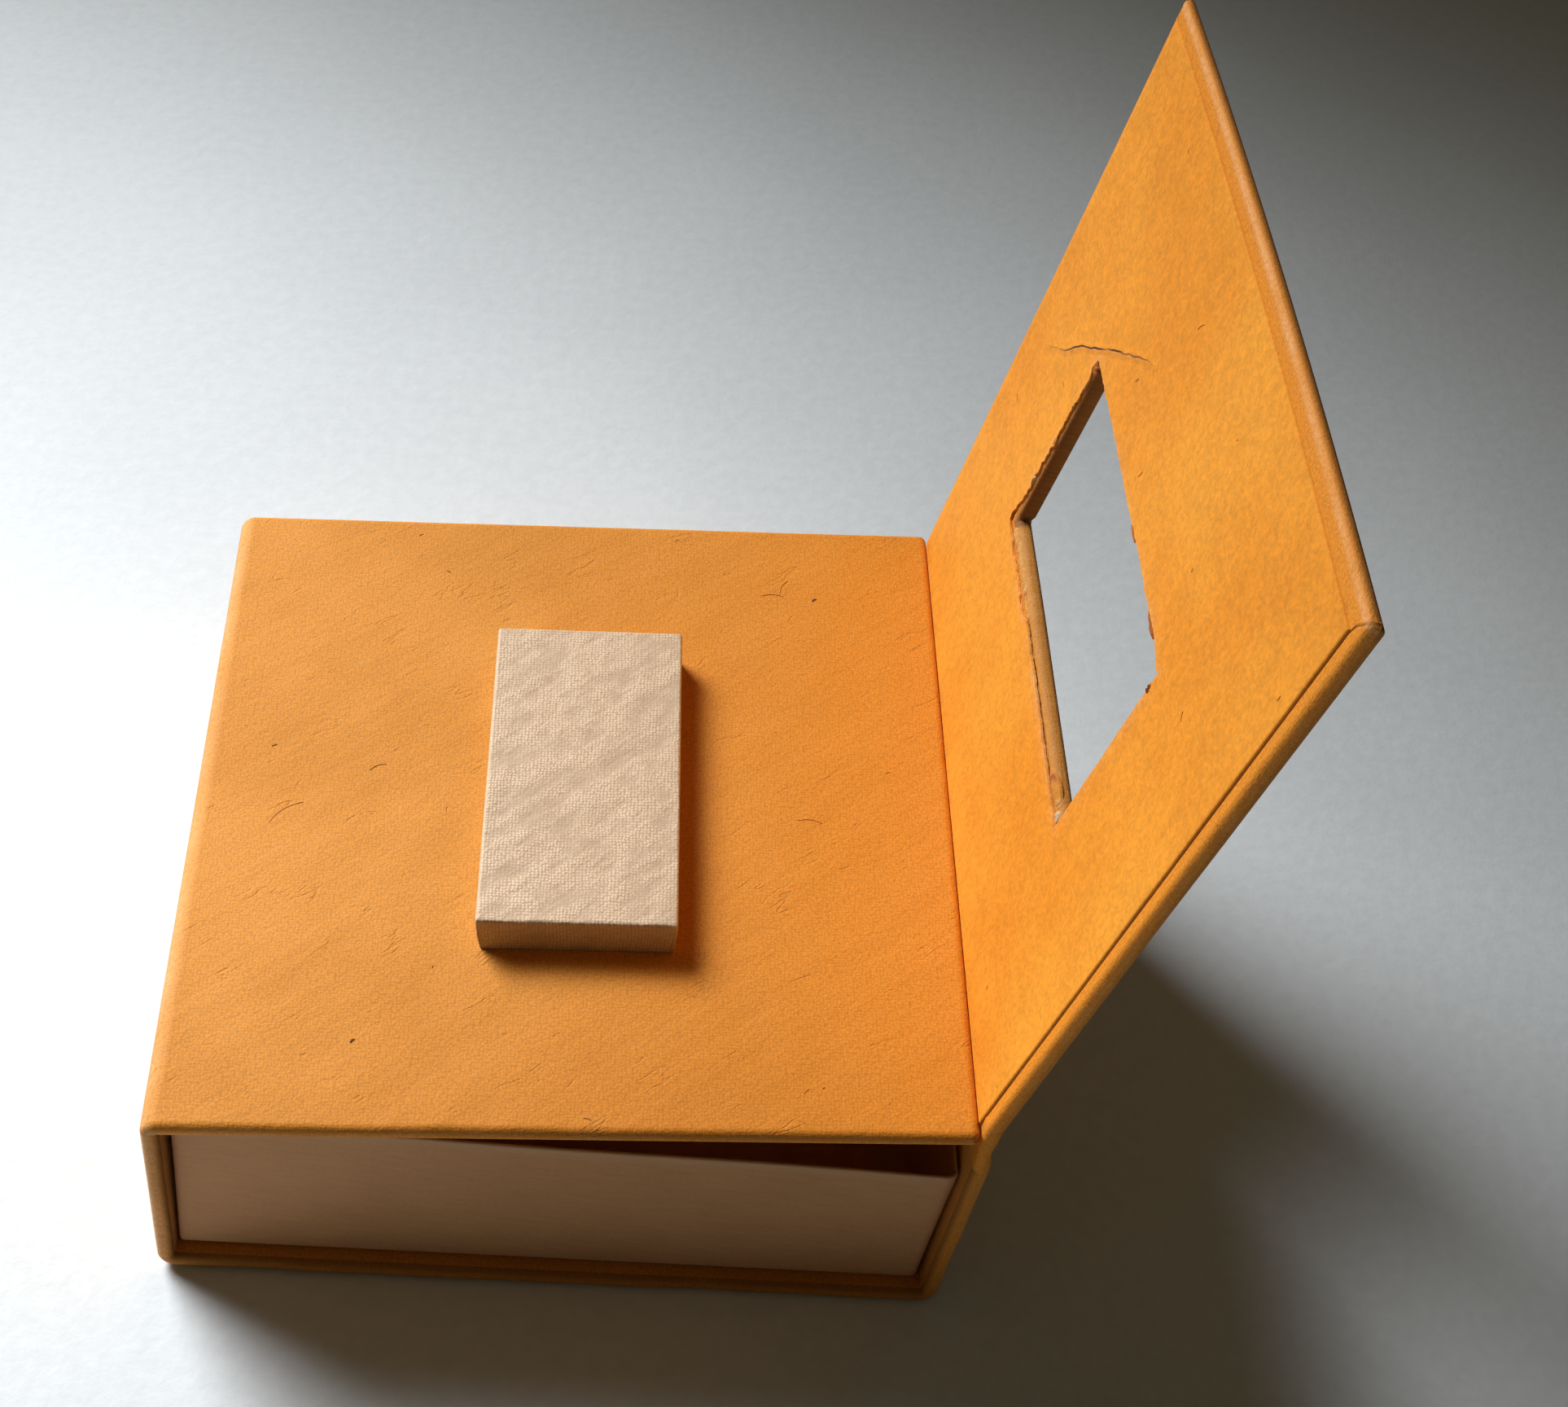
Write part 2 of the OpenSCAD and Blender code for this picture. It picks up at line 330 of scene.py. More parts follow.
def slab(*sheets, keep=None):
    """A closed solid between sheets of points on one grid. The first and the last are its faces, and
    wherever the kept cells stop, the rims of all of them, one under another, are its edge. Returns its
    points, its faces and the places of those points in the stacked sheets."""
    rows, cols = sheets[0].shape[:2]
    keep = np.ones((rows - 1, cols - 1), bool) if keep is None else keep
    at = np.arange(rows * cols).reshape(rows, cols)
    a, b, c, d = at[:-1, :-1], at[1:, :-1], at[1:, 1:], at[:-1, 1:]
    layer, last = rows * cols, len(sheets) - 1
    cells = np.stack([a, b, c, d], -1)[keep]
    faces = [cells, cells[:, ::-1] + last * layer]
    room = np.pad(keep, 1)
    for down, right, p, q in ((1, 0, b, c), (-1, 0, d, a), (0, 1, c, d), (0, -1, a, b)):
        edge = keep & ~room[1 + down: rows + down, 1 + right: cols + right]
        rim = np.stack([p[edge], p[edge] + layer, q[edge] + layer, q[edge]], -1)
        faces += [rim + step * layer for step in range(last)]
    used, faces = np.unique(np.concatenate(faces), return_inverse=True)
    points = np.concatenate([sheet.reshape(-1, 3) for sheet in sheets])[used]
    return points, faces.reshape(-1, 4), used


def paper(sheets, place, rub=0.0, soil=0.0, fresh=0.0, keep=None):
    """A slab with the marks that its finish reads: each point's place on the paper; how far it is paled,
    by wear and by painted highlights; how far it is darkened, by soiling and by painted shade; and how
    much of the deeper, not faded tone it takes, which on the flap is held back on the left as a painted
    glare. A mark is one grid for every sheet, or a list with one for each."""
    points, faces, used = slab(*sheets, keep=keep)
    marks = {}
    for name, mark in (("sheet", place), ("rub", rub), ("soil", soil), ("fresh", fresh)):
        grids = mark if isinstance(mark, list) else [mark] * len(sheets)
        tail = (3,) if name == "sheet" else ()
        shape = sheets[0].shape[:2] + tail
        rows = [np.broadcast_to(grid, shape).reshape((-1,) + tail) for grid in grids]
        marks[name] = np.concatenate(rows)[used]
    return points, faces, marks


def lid_paper(u, y, upper, lower, page, wear, sizes, **marks):
    """Paper inside the lid, between two distances from the middle of the lid's thickness."""
    sheets = [on_lid(u, y, -distance, wear, sizes) for distance in (upper, lower)]
    return paper(sheets, sheet_of(u, y, page), **marks)


def rings(half_w, half_d, corner, inset, side=44, turn=6):
    """Round-cornered rectangles, drawn in by each inset: corner arcs joined by evenly divided sides.
    Returns plan points and the outward direction at each, both of shape (insets, points, 2)."""
    inset = np.asarray(inset, float)[:, None]
    radius = np.maximum(corner - inset, 0.03)
    angle = np.linspace(0, np.pi / 2, turn + 1)
    arcs, ways = [], []
    for quarter, (sx, sy) in enumerate([(1, 1), (-1, 1), (-1, -1), (1, -1)]):
        facing = angle + quarter * np.pi / 2
        way = np.stack([np.cos(facing), np.sin(facing)], -1)
        centre = np.stack([sx * (half_w - inset - radius), sy * (half_d - inset - radius)], -1)
        arcs.append(centre + radius[..., None] * way)
        ways.append(np.broadcast_to(way, arcs[-1].shape))
    part = np.linspace(0, 1, side + 2)[1:-1][:, None]
    plan, out = [], []
    for here in range(4):
        start, end = arcs[here][:, -1:], arcs[(here + 1) % 4][:, :1]
        plan += [arcs[here], start + (end - start) * part]
        out += [ways[here], np.broadcast_to(ways[here][:, -1:], plan[-1].shape)]
    return np.concatenate(plan, 1), np.concatenate(out, 1)


def capped(loops, first, last):
    """A closed surface through loops of points, one after another, with a pole at each end."""
    count, around = loops.shape[:2]
    at = np.arange(count * around).reshape(count, around)
    nxt = np.roll(at, -1, 1)
    walls = np.stack([at[:-1], nxt[:-1], nxt[1:], at[1:]], -1).reshape(-1, 4)
    low, high = count * around, count * around + 1
    base = np.stack([nxt[0], at[0], 0 * at[0] + low, 0 * at[0] + low], -1)
    top = np.stack([at[-1], nxt[-1], 0 * at[-1] + high, 0 * at[-1] + high], -1)
    return np.concatenate([loops.reshape(-1, 3), [first], [last]]), np.concatenate([walls, base, top])


def joined(shapes):
    """Several (points, faces, marks) as one."""
    starts = np.cumsum([0] + [len(points) for points, _, _ in shapes[:-1]])
    points = np.concatenate([shape[0] for shape in shapes])
    faces = np.concatenate([shape[1] + start for shape, start in zip(shapes, starts)])
    marks = {name: np.concatenate([shape[2][name] for shape in shapes]) for name in shapes[0][2]}
    return points, faces, marks


def turned_out(points, faces):
    """The faces of a closed surface, turned so that its volume is positive."""
    p = points[faces]
    volume = np.einsum("ij,ij->", p[:, 0], np.cross(p[:, 1], p[:, 2]))
    volume += np.einsum("ij,ij->", p[:, 0], np.cross(p[:, 2], p[:, 3]))
    if volume >= 0:
        return faces
    three = (faces[:, 2] == faces[:, 3])[:, None]
    return np.where(three, faces[:, [1, 0, 2, 2]], faces[:, ::-1])


def add_piece(name, points, faces, marks, finish):
    """A mesh object at the origin from points in millimetres, with its marks as point attributes."""
    faces = turned_out(points, faces)
    three = faces[:, 2] == faces[:, 3]
    mesh = bpy.data.meshes.new(name)
    corners = faces[~three].tolist() + faces[three, :3].tolist()
    mesh.from_pydata((points * MM).tolist(), [], corners)
    for mark, values in marks.items():
        vector = np.ndim(values) == 2
        layer = mesh.attributes.new(mark, "FLOAT_VECTOR" if vector else "FLOAT", "POINT")
        field = "vector" if vector else "value"
        layer.data.foreach_set(field, np.asarray(values, np.float32).ravel())
    mesh.shade_smooth()
    mesh.set_sharp_from_angle(angle=SHARP)
    mesh.materials.append(finish)
    piece = bpy.data.objects.new(name, mesh)
    bpy.context.scene.collection.objects.link(piece)
    return piece


def sheet_of(x, y, page):
    """Place on the paper, in millimetres. Each page has its own part of the pattern."""
    return np.stack([x + PAGE * page, y + 0 * x, 0 * x], -1)


# Finishes

class Finish:
    """A material, built one node at a time. Patterns are laid out in millimetres of paper."""

    def __init__(self, name):
        self.material = bpy.data.materials.new(name)
        self.material.use_nodes = True
        self.tree = self.material.node_tree
        self.shader = self.tree.nodes["Principled BSDF"]

    def node(self, kind, inputs, output=0, **settings):
        """A new node with these inputs and settings, given by one of its outputs."""
        made = self.tree.nodes.new("ShaderNode" + kind)
        for name, value in settings.items():
            setattr(made, name, value)
        for slot, value in inputs.items():
            self.put(made.inputs[slot], value)
        return made.outputs[output]

    def put(self, socket, value):
        """A link where the value is another node's output, or else a plain value."""
        if isinstance(value, bpy.types.NodeSocket):
            self.tree.links.new(value, socket)
        else:
            socket.default_value = value

    def mark(self, name):
        """One of the mesh's own numbers."""
        return self.node("Attribute", {}, 2, attribute_name=name)

    def sheet(self):
        """The place on the paper."""
        return self.node("Attribute", {}, 1, attribute_name="sheet")

    def math(self, operation, first, second=0.0):
        """One sum on two numbers."""
        return self.node("Math", {0: first, 1: second}, operation=operation)

    def total(self, *terms):
        """Sum of (socket, weight) pairs."""
        made = 0.0
        for socket, weight in terms:
            made = self.node("Math", {0: socket, 1: weight, 2: made}, operation="MULTIPLY_ADD")
        return made

    def spread(self, value, low, high, to_low=0.0, to_high=1.0):
        """A smooth step from to_low to to_high as the value goes from low to high."""
        inputs = {0: value, 1: low, 2: high, 3: to_low, 4: to_high}
        return self.node("MapRange", inputs, interpolation_type="SMOOTHSTEP")

    def mix(self, amount, first, second, blend="MIX"):
        """Two colours mixed; a colour property is given its full opacity."""
        first, second = (
            value if isinstance(value, bpy.types.NodeSocket) else tuple(value)[:3] + (1,)
            for value in (first, second)
        )
        inputs = {0: amount, 6: first, 7: second}
        return self.node("Mix", inputs, 2, data_type="RGBA", blend_type=blend)

    def shade(self, tone, amount):
        """A colour made darker or lighter by an amount."""
        return self.mix(1.0, tone, amount, "MULTIPLY")

    def aged(self, tone, pulp, tint):
        """A colour that is pale where it is rubbed and where a highlight is painted, by the pulp's grain,
        and dark where it is soiled and where shade is painted.
        """
        rub = self.math("MULTIPLY", self.mark("rub"), self.spread(pulp, 0.3, 0.6, 0.4, 1.0))
        return self.mix(self.mark("soil"), self.mix(rub, tone, tint.worn), tint.dirt)

    def noise(self, where, size, detail=3.0, roughness=0.55, output=0):
        """Clouds whose largest are about the given size."""
        inputs = {"Vector": where, "Scale": 1.0 / size, "Detail": detail, "Roughness": roughness}
        return self.node("TexNoise", inputs, output)

    def turned(self, where, degrees, long, wide):
        """The place on the paper in steps of long by wide, with the long side turned by degrees."""
        inputs = {"Vector": where, "Rotation": (0, 0, math.radians(degrees)), "Scale": (long, wide, 1)}
        return self.node("Mapping", inputs, vector_type="TEXTURE")

    def cloth(self, where, pitch, drift, stray):
        """The mark of the mould's cloth, from 0 between its threads to 1 where they crossed: the middles
        of square cells, whose rows wander by the drift and which stray from their rows."""
        wander = self.noise(where, 8.0, 2.0, 0.5, 1)
        wander = self.node("VectorMath", {0: wander, 1: (0.5, 0.5, 0.5)}, operation="SUBTRACT")
        wander = self.node("VectorMath", {0: wander, 3: drift}, operation="SCALE")
        place = self.node("VectorMath", {0: where, 1: wander}, operation="ADD")
        inputs = {"Vector": self.turned(place, 0, pitch, pitch), "Scale": 1.0, "Randomness": stray}
        return self.spread(self.node("TexVoronoi", inputs, voronoi_dimensions="2D"), 0.1, 0.6, 1.0, 0.0)

    def flecks(self, where, degrees, long, wide, size, share):
        """Short fibres: the middles of long, narrow cells, in a share of the cells."""
        cells = self.tree.nodes.new("ShaderNodeTexVoronoi")
        cells.voronoi_dimensions = "2D"
        self.put(cells.inputs["Vector"], self.turned(where, degrees, long, wide))
        cells.inputs["Scale"].default_value = 1.0
        near = self.spread(cells.outputs["Distance"], 0.5 * size, size, 1.0, 0.0)
        pick = self.node("SeparateColor", {0: cells.outputs["Color"]})
        return self.math("MULTIPLY", near, self.math("GREATER_THAN", pick, 1 - share))

    def finish(self, colour, roughness, height, sheen, specular):
        """Joins colour, roughness and height, in millimetres, to the shader."""
        bump = self.node("Bump", {"Strength": 1.0, "Distance": MM, "Height": height})
        self.put(self.shader.inputs["Base Color"], colour)
        self.put(self.shader.inputs["Roughness"], roughness)
        self.put(self.shader.inputs["Normal"], bump)
        self.shader.inputs["Sheen Weight"].default_value = sheen
        self.shader.inputs["Sheen Roughness"].default_value = 0.5
        self.shader.inputs["Specular IOR Level"].default_value = specular
        return self.material


def made_once(build):
    """Keeps each finish by its name, so that pieces share it."""
    def get(*values):
        name = build.__name__
        return bpy.data.materials.get(name) or build(name, *values)
    return get


@made_once
def orange_cloth_paper(name, tint):
    """Thick dyed paper: cloudy tone, pulp grain, pale dots of the cloth's mark, fine diagonal creases
    with darker lines, a few fibres, a deeper tone where its mark says, pale rubbed edges and painted
    highlights, and darker soiling and painted shade."""
    f = Finish(name)
    sheet = f.sheet()
    cloud, blotch = f.noise(sheet, 36.0, 3.0), f.noise(sheet, 7.0, 5.0, 0.6)
    pulp, mark = f.noise(sheet, 0.9, 4.0, 0.7), f.cloth(sheet, 0.47, 1.2, 0.6)
    crease = f.noise(f.turned(sheet, 38, 17.0, 4.5), 1.0, 3.0, 0.55)
    speck = f.noise(sheet, 0.45, 2.0, 0.6)
    tone = f.mix(f.spread(cloud, 0.36, 0.64), tint.orange_deep, tint.orange_light)
    tone = f.mix(f.mark("fresh"), tone, tint.orange_fresh)
    grain = f.total((mark, 0.2), (speck, 0.5), (pulp, 0.35), (blotch, 0.12))
    tone = f.shade(tone, f.spread(grain, 0.3, 0.84, 0.82, 1.16))
    line = f.spread(f.math("ABSOLUTE", f.math("SUBTRACT", crease, 0.5)), 0.0, 0.02, 1.0, 0.0)
    line = f.math("MULTIPLY", line, f.spread(blotch, 0.54, 0.64))
    fibres = f.flecks(sheet, 35, 3.2, 0.6, 0.14, 0.07)
    tone = f.mix(f.total((fibres, 0.25), (line, 0.2)), tone, tint.fibre)
    tone = f.aged(tone, pulp, tint)
    height = f.total((mark, 0.012), (speck, 0.03), (pulp, 0.06), (blotch, 0.1), (crease, 0.2), (line, -0.06))
    return f.finish(tone, f.spread(pulp, 0.2, 0.8, 0.55, 0.7), height, 0.03, 0.2)


@made_once
def orange_lining_paper(name, tint):
    """Thinner dyed paper with a felt surface: even tone, fine grain, small specks, torn edges."""
    f = Finish(name)
    sheet = f.sheet()
    cloud, blotch = f.noise(sheet, 45.0, 3.0), f.noise(sheet, 8.0, 5.0, 0.6)
    pulp, mottle = f.noise(sheet, 0.7, 5.0, 0.72), f.noise(sheet, 1.7, 3.0, 0.6)
    tone = f.mix(f.spread(cloud, 0.36, 0.64), tint.lining_deep, tint.lining_light)
    grain = f.total((pulp, 0.75), (mottle, 0.4), (blotch, 0.25))
    tone = f.shade(tone, f.spread(grain, 0.48, 0.92, 0.78, 1.13))
    specks = f.math(
        "MAXIMUM", f.flecks(sheet, 20, 1.4, 1.0, 0.13, 0.1), f.flecks(sheet, 75, 2.0, 0.7, 0.12, 0.06)
    )
    tone = f.mix(f.math("MULTIPLY", specks, 0.3), tone, tint.fibre)
    tone = f.aged(tone, pulp, tint)
    height = f.total((pulp, 0.06), (blotch, 0.14))
    return f.finish(tone, f.spread(pulp, 0.2, 0.8, 0.62, 0.78), height, 0.03, 0.2)


@made_once
def cream_cloth_paper(name, tint):
    """Undyed paper: rows of pale dots where the cloth's threads crossed, their paleness partly the paper's
    own and partly a painted glint, wrinkles and a grey cloud.
    """
    f = Finish(name)
    sheet = f.sheet()
    cloud, dent = f.noise(sheet, 16.0, 3.0), f.noise(sheet, 3.5, 4.0, 0.6)
    pulp, mark = f.noise(sheet, 0.8, 4.0, 0.7), f.cloth(sheet, 0.47, 1.0, 0.35)
    crease = f.noise(f.turned(sheet, 42, 9.0, 2.4), 1.0, 3.0, 0.55)
    patch = f.spread(f.total((dent, 0.5), (crease, 0.5)), 0.4, 0.58, 0.3, 1.0)
    # the dots' paleness is partly a painted glint on the raised threads
    dots = f.math("MULTIPLY", mark, patch)
    grain = f.total((pulp, 0.4), (dent, 0.15), (cloud, 0.25), (dots, 0.65))
    tone = f.mix(f.spread(grain, 0.25, 1.05), tint.cream_deep, tint.cream_light)
    tone = f.mix(f.math("MULTIPLY", f.mark("rub"), 0.6), tone, tint.cream_light)
    tone = f.mix(f.mark("soil"), tone, tint.dirt)
    height = f.total((dots, 0.035), (pulp, 0.06), (dent, 0.16), (crease, 0.2))
    return f.finish(tone, f.spread(dots, 0.0, 1.0, 0.62, 0.42), height, 0.05, 0.45)


@made_once
def cream_tray_card(name, tint):
    """Plain card: a faint cloud, fine fibre grain and a few specks, in a tan-brown that paints the warm
    shade over the cream card.
    """
    f = Finish(name)
    sheet = f.sheet()
    cloud, pulp = f.noise(sheet, 20.0, 3.0), f.noise(sheet, 0.7, 5.0, 0.7)
    streak = f.noise(f.turned(sheet, 8, 6.5, 0.9), 1.0, 3.0, 0.6)
    grain = f.total((pulp, 0.4), (streak, 0.35), (cloud, 0.35))
    tone = f.mix(f.spread(grain, 0.35, 0.75), tint.card_deep, tint.card_light)
    specks = f.flecks(sheet, 15, 2.5, 1.0, 0.08, 0.1)
    tone = f.mix(f.math("MULTIPLY", specks, 0.3), tone, tint.fibre)
    tone = f.mix(f.math("MULTIPLY", f.mark("rub"), 0.4), tone, tint.cream_light)
    tone = f.mix(f.mark("soil"), tone, tint.dirt)
    height = f.total((pulp, 0.05), (streak, 0.06))
    return f.finish(tone, f.spread(pulp, 0.2, 0.8, 0.7, 0.85), height, 0.03, 0.3)


@made_once
def torn_board(name, tint):
    """Torn inside of the board: pale pulp with loose grain, and red-brown crumbs and painted shade where it
    is soiled.
    """
    f = Finish(name)
    sheet = f.sheet()
    pulp, lump = f.noise(sheet, 0.5, 4.0, 0.7), f.noise(sheet, 1.8, 3.0)
    tone = f.mix(f.spread(f.mark("rub"), 0.0, 1.0), tint.orange_deep, tint.ply)
    tone = f.mix(f.spread(f.mark("rub"), 1.0, 2.0), tone, tint.cream_light)
    tone = f.shade(tone, f.spread(f.total((pulp, 0.6), (lump, 0.5)), 0.3, 0.8, 0.75, 1.15))
    tone = f.mix(f.mark("soil"), tone, tint.rust)
    height = f.total((pulp, 0.14), (lump, 0.2))
    return f.finish(tone, f.spread(pulp, 0.2, 0.8, 0.75, 0.92), height, 0.05, 0.25)


@made_once
def bark_fibre(name, tint):
    """Bark fibres left in the pulp: a little deeper than the paper, and brown where they are soiled."""
    f = Finish(name)
    pulp = f.noise(f.sheet(), 0.6, 3.0)
    tone = f.mix(f.spread(pulp, 0.35, 0.65, 0.1, 0.4), tint.orange_deep, tint.fibre)
    tone = f.mix(f.mark("soil"), tone, tint.dirt)
    return f.finish(tone, f.spread(pulp, 0.2, 0.8, 0.6, 0.85), f.total((pulp, 0.02)), 0.0, 0.3)


@made_once
def pale_table(name, tint):
    """Table top: pale paper with a soft tooth."""
    f = Finish(name)
    place = f.node("TexCoord", {}, 3)
    tooth, cloud = f.noise(place, 0.0026, 3.0, 0.6), f.noise(place, 0.07, 2.0)
    tone = f.spread(f.total((tooth, 0.5), (cloud, 0.5)), 0.3, 0.7, 0.94, 1.03)
    tone, rough = f.shade(tint.table, tone), f.spread(tooth, 0.2, 0.8, 0.75, 0.9)
    return f.finish(tone, rough, f.total((tooth, 0.09)), 0.0, 0.2)


# Pieces

class BoxOperator:
    """What every builder of a piece shares: the values of the sidebar, in millimetres."""

    bl_options = {"REGISTER"}

    def execute(self, context):
        scene = context.scene
        sizes, wear = in_mm(scene.paper_box_sizes), in_mm(scene.paper_box_wear)
        self.build(sizes, wear, scene.paper_box_colours)
        return {"FINISHED"}


class PAPERBOX_OT_case(BoxOperator, Operator):
    """Base and side walls: one covered board folded into a U"""

    bl_idname = "paper_box.case"
    bl_label = "Case"

    def build(self, sizes, wear, tint):
        """The board's middle runs down the left wall, round an arc, along the base and up the right
        wall. Its two faces stand half a thickness to each side, less the rounding of the front and back
        edges. Those edges are paler on the left wall, partly wear and partly a painted highlight, darker
        on their inner half as painted shade, and darker along the base."""
        middle, bend = HALF_W - BOARD / 2, sizes.base_fold - BOARD / 2
        foot, flat = BOARD / 2 + bend, middle - bend
        turn = np.linspace(0, np.pi / 2, 9)[1:-1]
        cos, sin = np.cos(turn), np.sin(turn)
        left, right = spaced((FLAP_Z, 1.0), (foot, 0)), spaced((foot, 1.0), (CASE_TOP, 0))
        base = spaced((-flat, 1.5), (flat, 0))
        x = np.concatenate([
            0 * left - middle, -flat - bend * cos, base, flat + bend * sin, 0 * right + middle,
        ])
        z = np.concatenate([left, foot - bend * sin, 0 * base + BOARD / 2, foot - bend * cos, right])
        nx = np.concatenate([0 * left - 1, -cos, 0 * base, sin, 0 * right + 1])
        nz = np.concatenate([0 * left, -sin, 0 * base - 1, -cos, 0 * right])
        along = np.append(0, np.cumsum(np.hypot(np.diff(x), np.diff(z))))
        edge = sizes.case_edge
        y = spaced(
            (-HALF_D, FROM_EDGE), (edge - HALF_D, 0.5), (4 - HALF_D, 2.0),
            (HALF_D - 4, 0.5), (HALF_D - edge, TO_EDGE), (HALF_D, 0),
        )
        s, y = crossed(along, y)
        x, z, nx, nz = (v[:, None] + 0 * y for v in (x, z, nx, nz))
        near_end = nearness(HALF_D - np.abs(y), edge)
        fall = rounding(near_end, edge)
        settle = held((s[-1] - s) / 6) * held(s / 6)
        wave = wear.cockle * ripple(s, y, 22, 3) * settle * (np.abs(nx) + 0.15 * np.abs(nz))
        end = 0.14 * ripple(s, 40 * np.sign(y), 17, 5) * near_end * settle

        def face(h):
            draw_in = 1 - lean_at(x, z + h * nz, sizes)
            return np.stack([(x + h * nx) * draw_in, y - end * np.sign(y), z + h * nz], -1)

        over = [near_end / 2, 1 - near_end / 2]
        on_left, on_edge = held((-flat - x) / bend + 0.5), near_end > 0
        # paler outer shoulder of the front and back edges, strongest on the left wall: partly wear, partly a
        # painted highlight where the left wall faces the lamp
        worn = [(0.1 + 0.95 * on_left) * on_edge * bell(at - 0.22, 0.22) for at in over]
        # painted shade over the inner half of each front and back edge, where the wall meets the tray's
        # shade, and darker along the base's edges
        darkest, on_base = 0.5 + 0.2 * on_left, 0.15 * near_end * np.abs(nz)
        painted_shade = [np.clip((at - 0.45) / 0.45, 0, darkest) * on_edge + on_base for at in over]
        sheets = [face(BOARD / 2 - fall + wave), face(fall - BOARD / 2)]
        shape = paper(sheets, sheet_of(s, y + np.sign(y) * fall, 1), worn, painted_shade, 0.5 * near_end)
        piece = add_piece("case_cover", *shape, orange_cloth_paper(tint))
        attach(piece, "case")
        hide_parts("case_shell")


class PAPERBOX_OT_tray(BoxOperator, Operator):
    """Open tray, folded from one sheet of card"""

    bl_idname = "paper_box.tray"
    bl_label = "Tray"

    def build(self, sizes, wear, tint):
        """A profile carried round a rectangle: under the floor, round the fold, up the wall, over the
        rim, down inside and back over the floor. The rim's height follows a tilted plane at the front, and
        the walls bulge and lean a little."""
        card, fold, inner = sizes.tray_card, sizes.tray_fold, 0.5
        wall, centre, rim_at = 26.0, 50.5, 0.985
        turn, lip = np.linspace(0, np.pi / 2, 7), np.linspace(0, np.pi, 9)[1:-1]
        up = spaced((fold / wall, 0.06), (rim_at, 0))
        under, floor = spaced((centre, 6.0), (fold, 0)), spaced((card + inner, 3.0), (centre, 0))
        bend, hollow = turn[1:], turn[:-1][::-1]
        inset = np.concatenate([
            under, fold * (1 - np.sin(bend)), 0 * up, card / 2 * (1 - np.cos(lip)), 0 * up + card,
            card + inner * (1 - np.sin(hollow)), floor,
        ])
        share = np.concatenate([
            0 * under, 0 * bend, up, rim_at + (1 - rim_at) * np.sin(lip), up[::-1], 0 * hollow, 0 * floor,
        ])
        rest = np.concatenate([
            0 * under, fold * (1 - np.cos(bend)), 0 * up, 0 * lip, 0 * up,
            card + inner * (1 - np.cos(hollow)), 0 * floor + card,
        ])
        plan, out = rings(sizes.tray_half_w, sizes.tray_half_d, 1.2, inset)
        x, y = plan[..., 0], plan[..., 1]
        front = held((sizes.tray_half_d - y) / (2 * sizes.tray_half_d))
        across = x / sizes.tray_half_w
        slope = wear.rim_rise - wear.rim_fall * across / 2 - 0.3 * (1 - across ** 2)
        rim = np.minimum(sizes.tray_rim + front * slope, FLAP_Z - 0.45) - BOARD
        z = np.where(share[:, None] > 0, share[:, None] * rim, rest[:, None])
        height = held(z / wall)
        bulge = 0.2 * ripple(x + y, z, 60, 11) * height - 0.2 + 0.5 * held(-out[..., 1])
        lean = np.where(x > 0, 0.55 * height, 0.45 * (height - 1)) * np.abs(out[..., 0])
        loops = np.stack([x + out[..., 0] * (bulge + lean), y + out[..., 1] * bulge, BOARD + z], -1)
        points, faces = capped(loops, (0, 0, BOARD), (0, 0, BOARD + card))
        drop = np.where(inset[:, None] < card, z, -z)
        place = sheet_of(x + out[..., 0] * drop, y + out[..., 1] * drop, 3).reshape(-1, 3)
        rub = np.repeat(held((share - 0.97) / 0.03), plan.shape[1])
        marks = {
            "sheet": np.concatenate([place, sheet_of(np.zeros(2), np.zeros(2), 3)]),
            "rub": np.append(rub, [0, 0]), "soil": np.zeros(len(points)),
        }
        piece = add_piece("tray_card", points, faces, marks, cream_tray_card(tint))
        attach(piece, "case")
        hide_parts("tray")


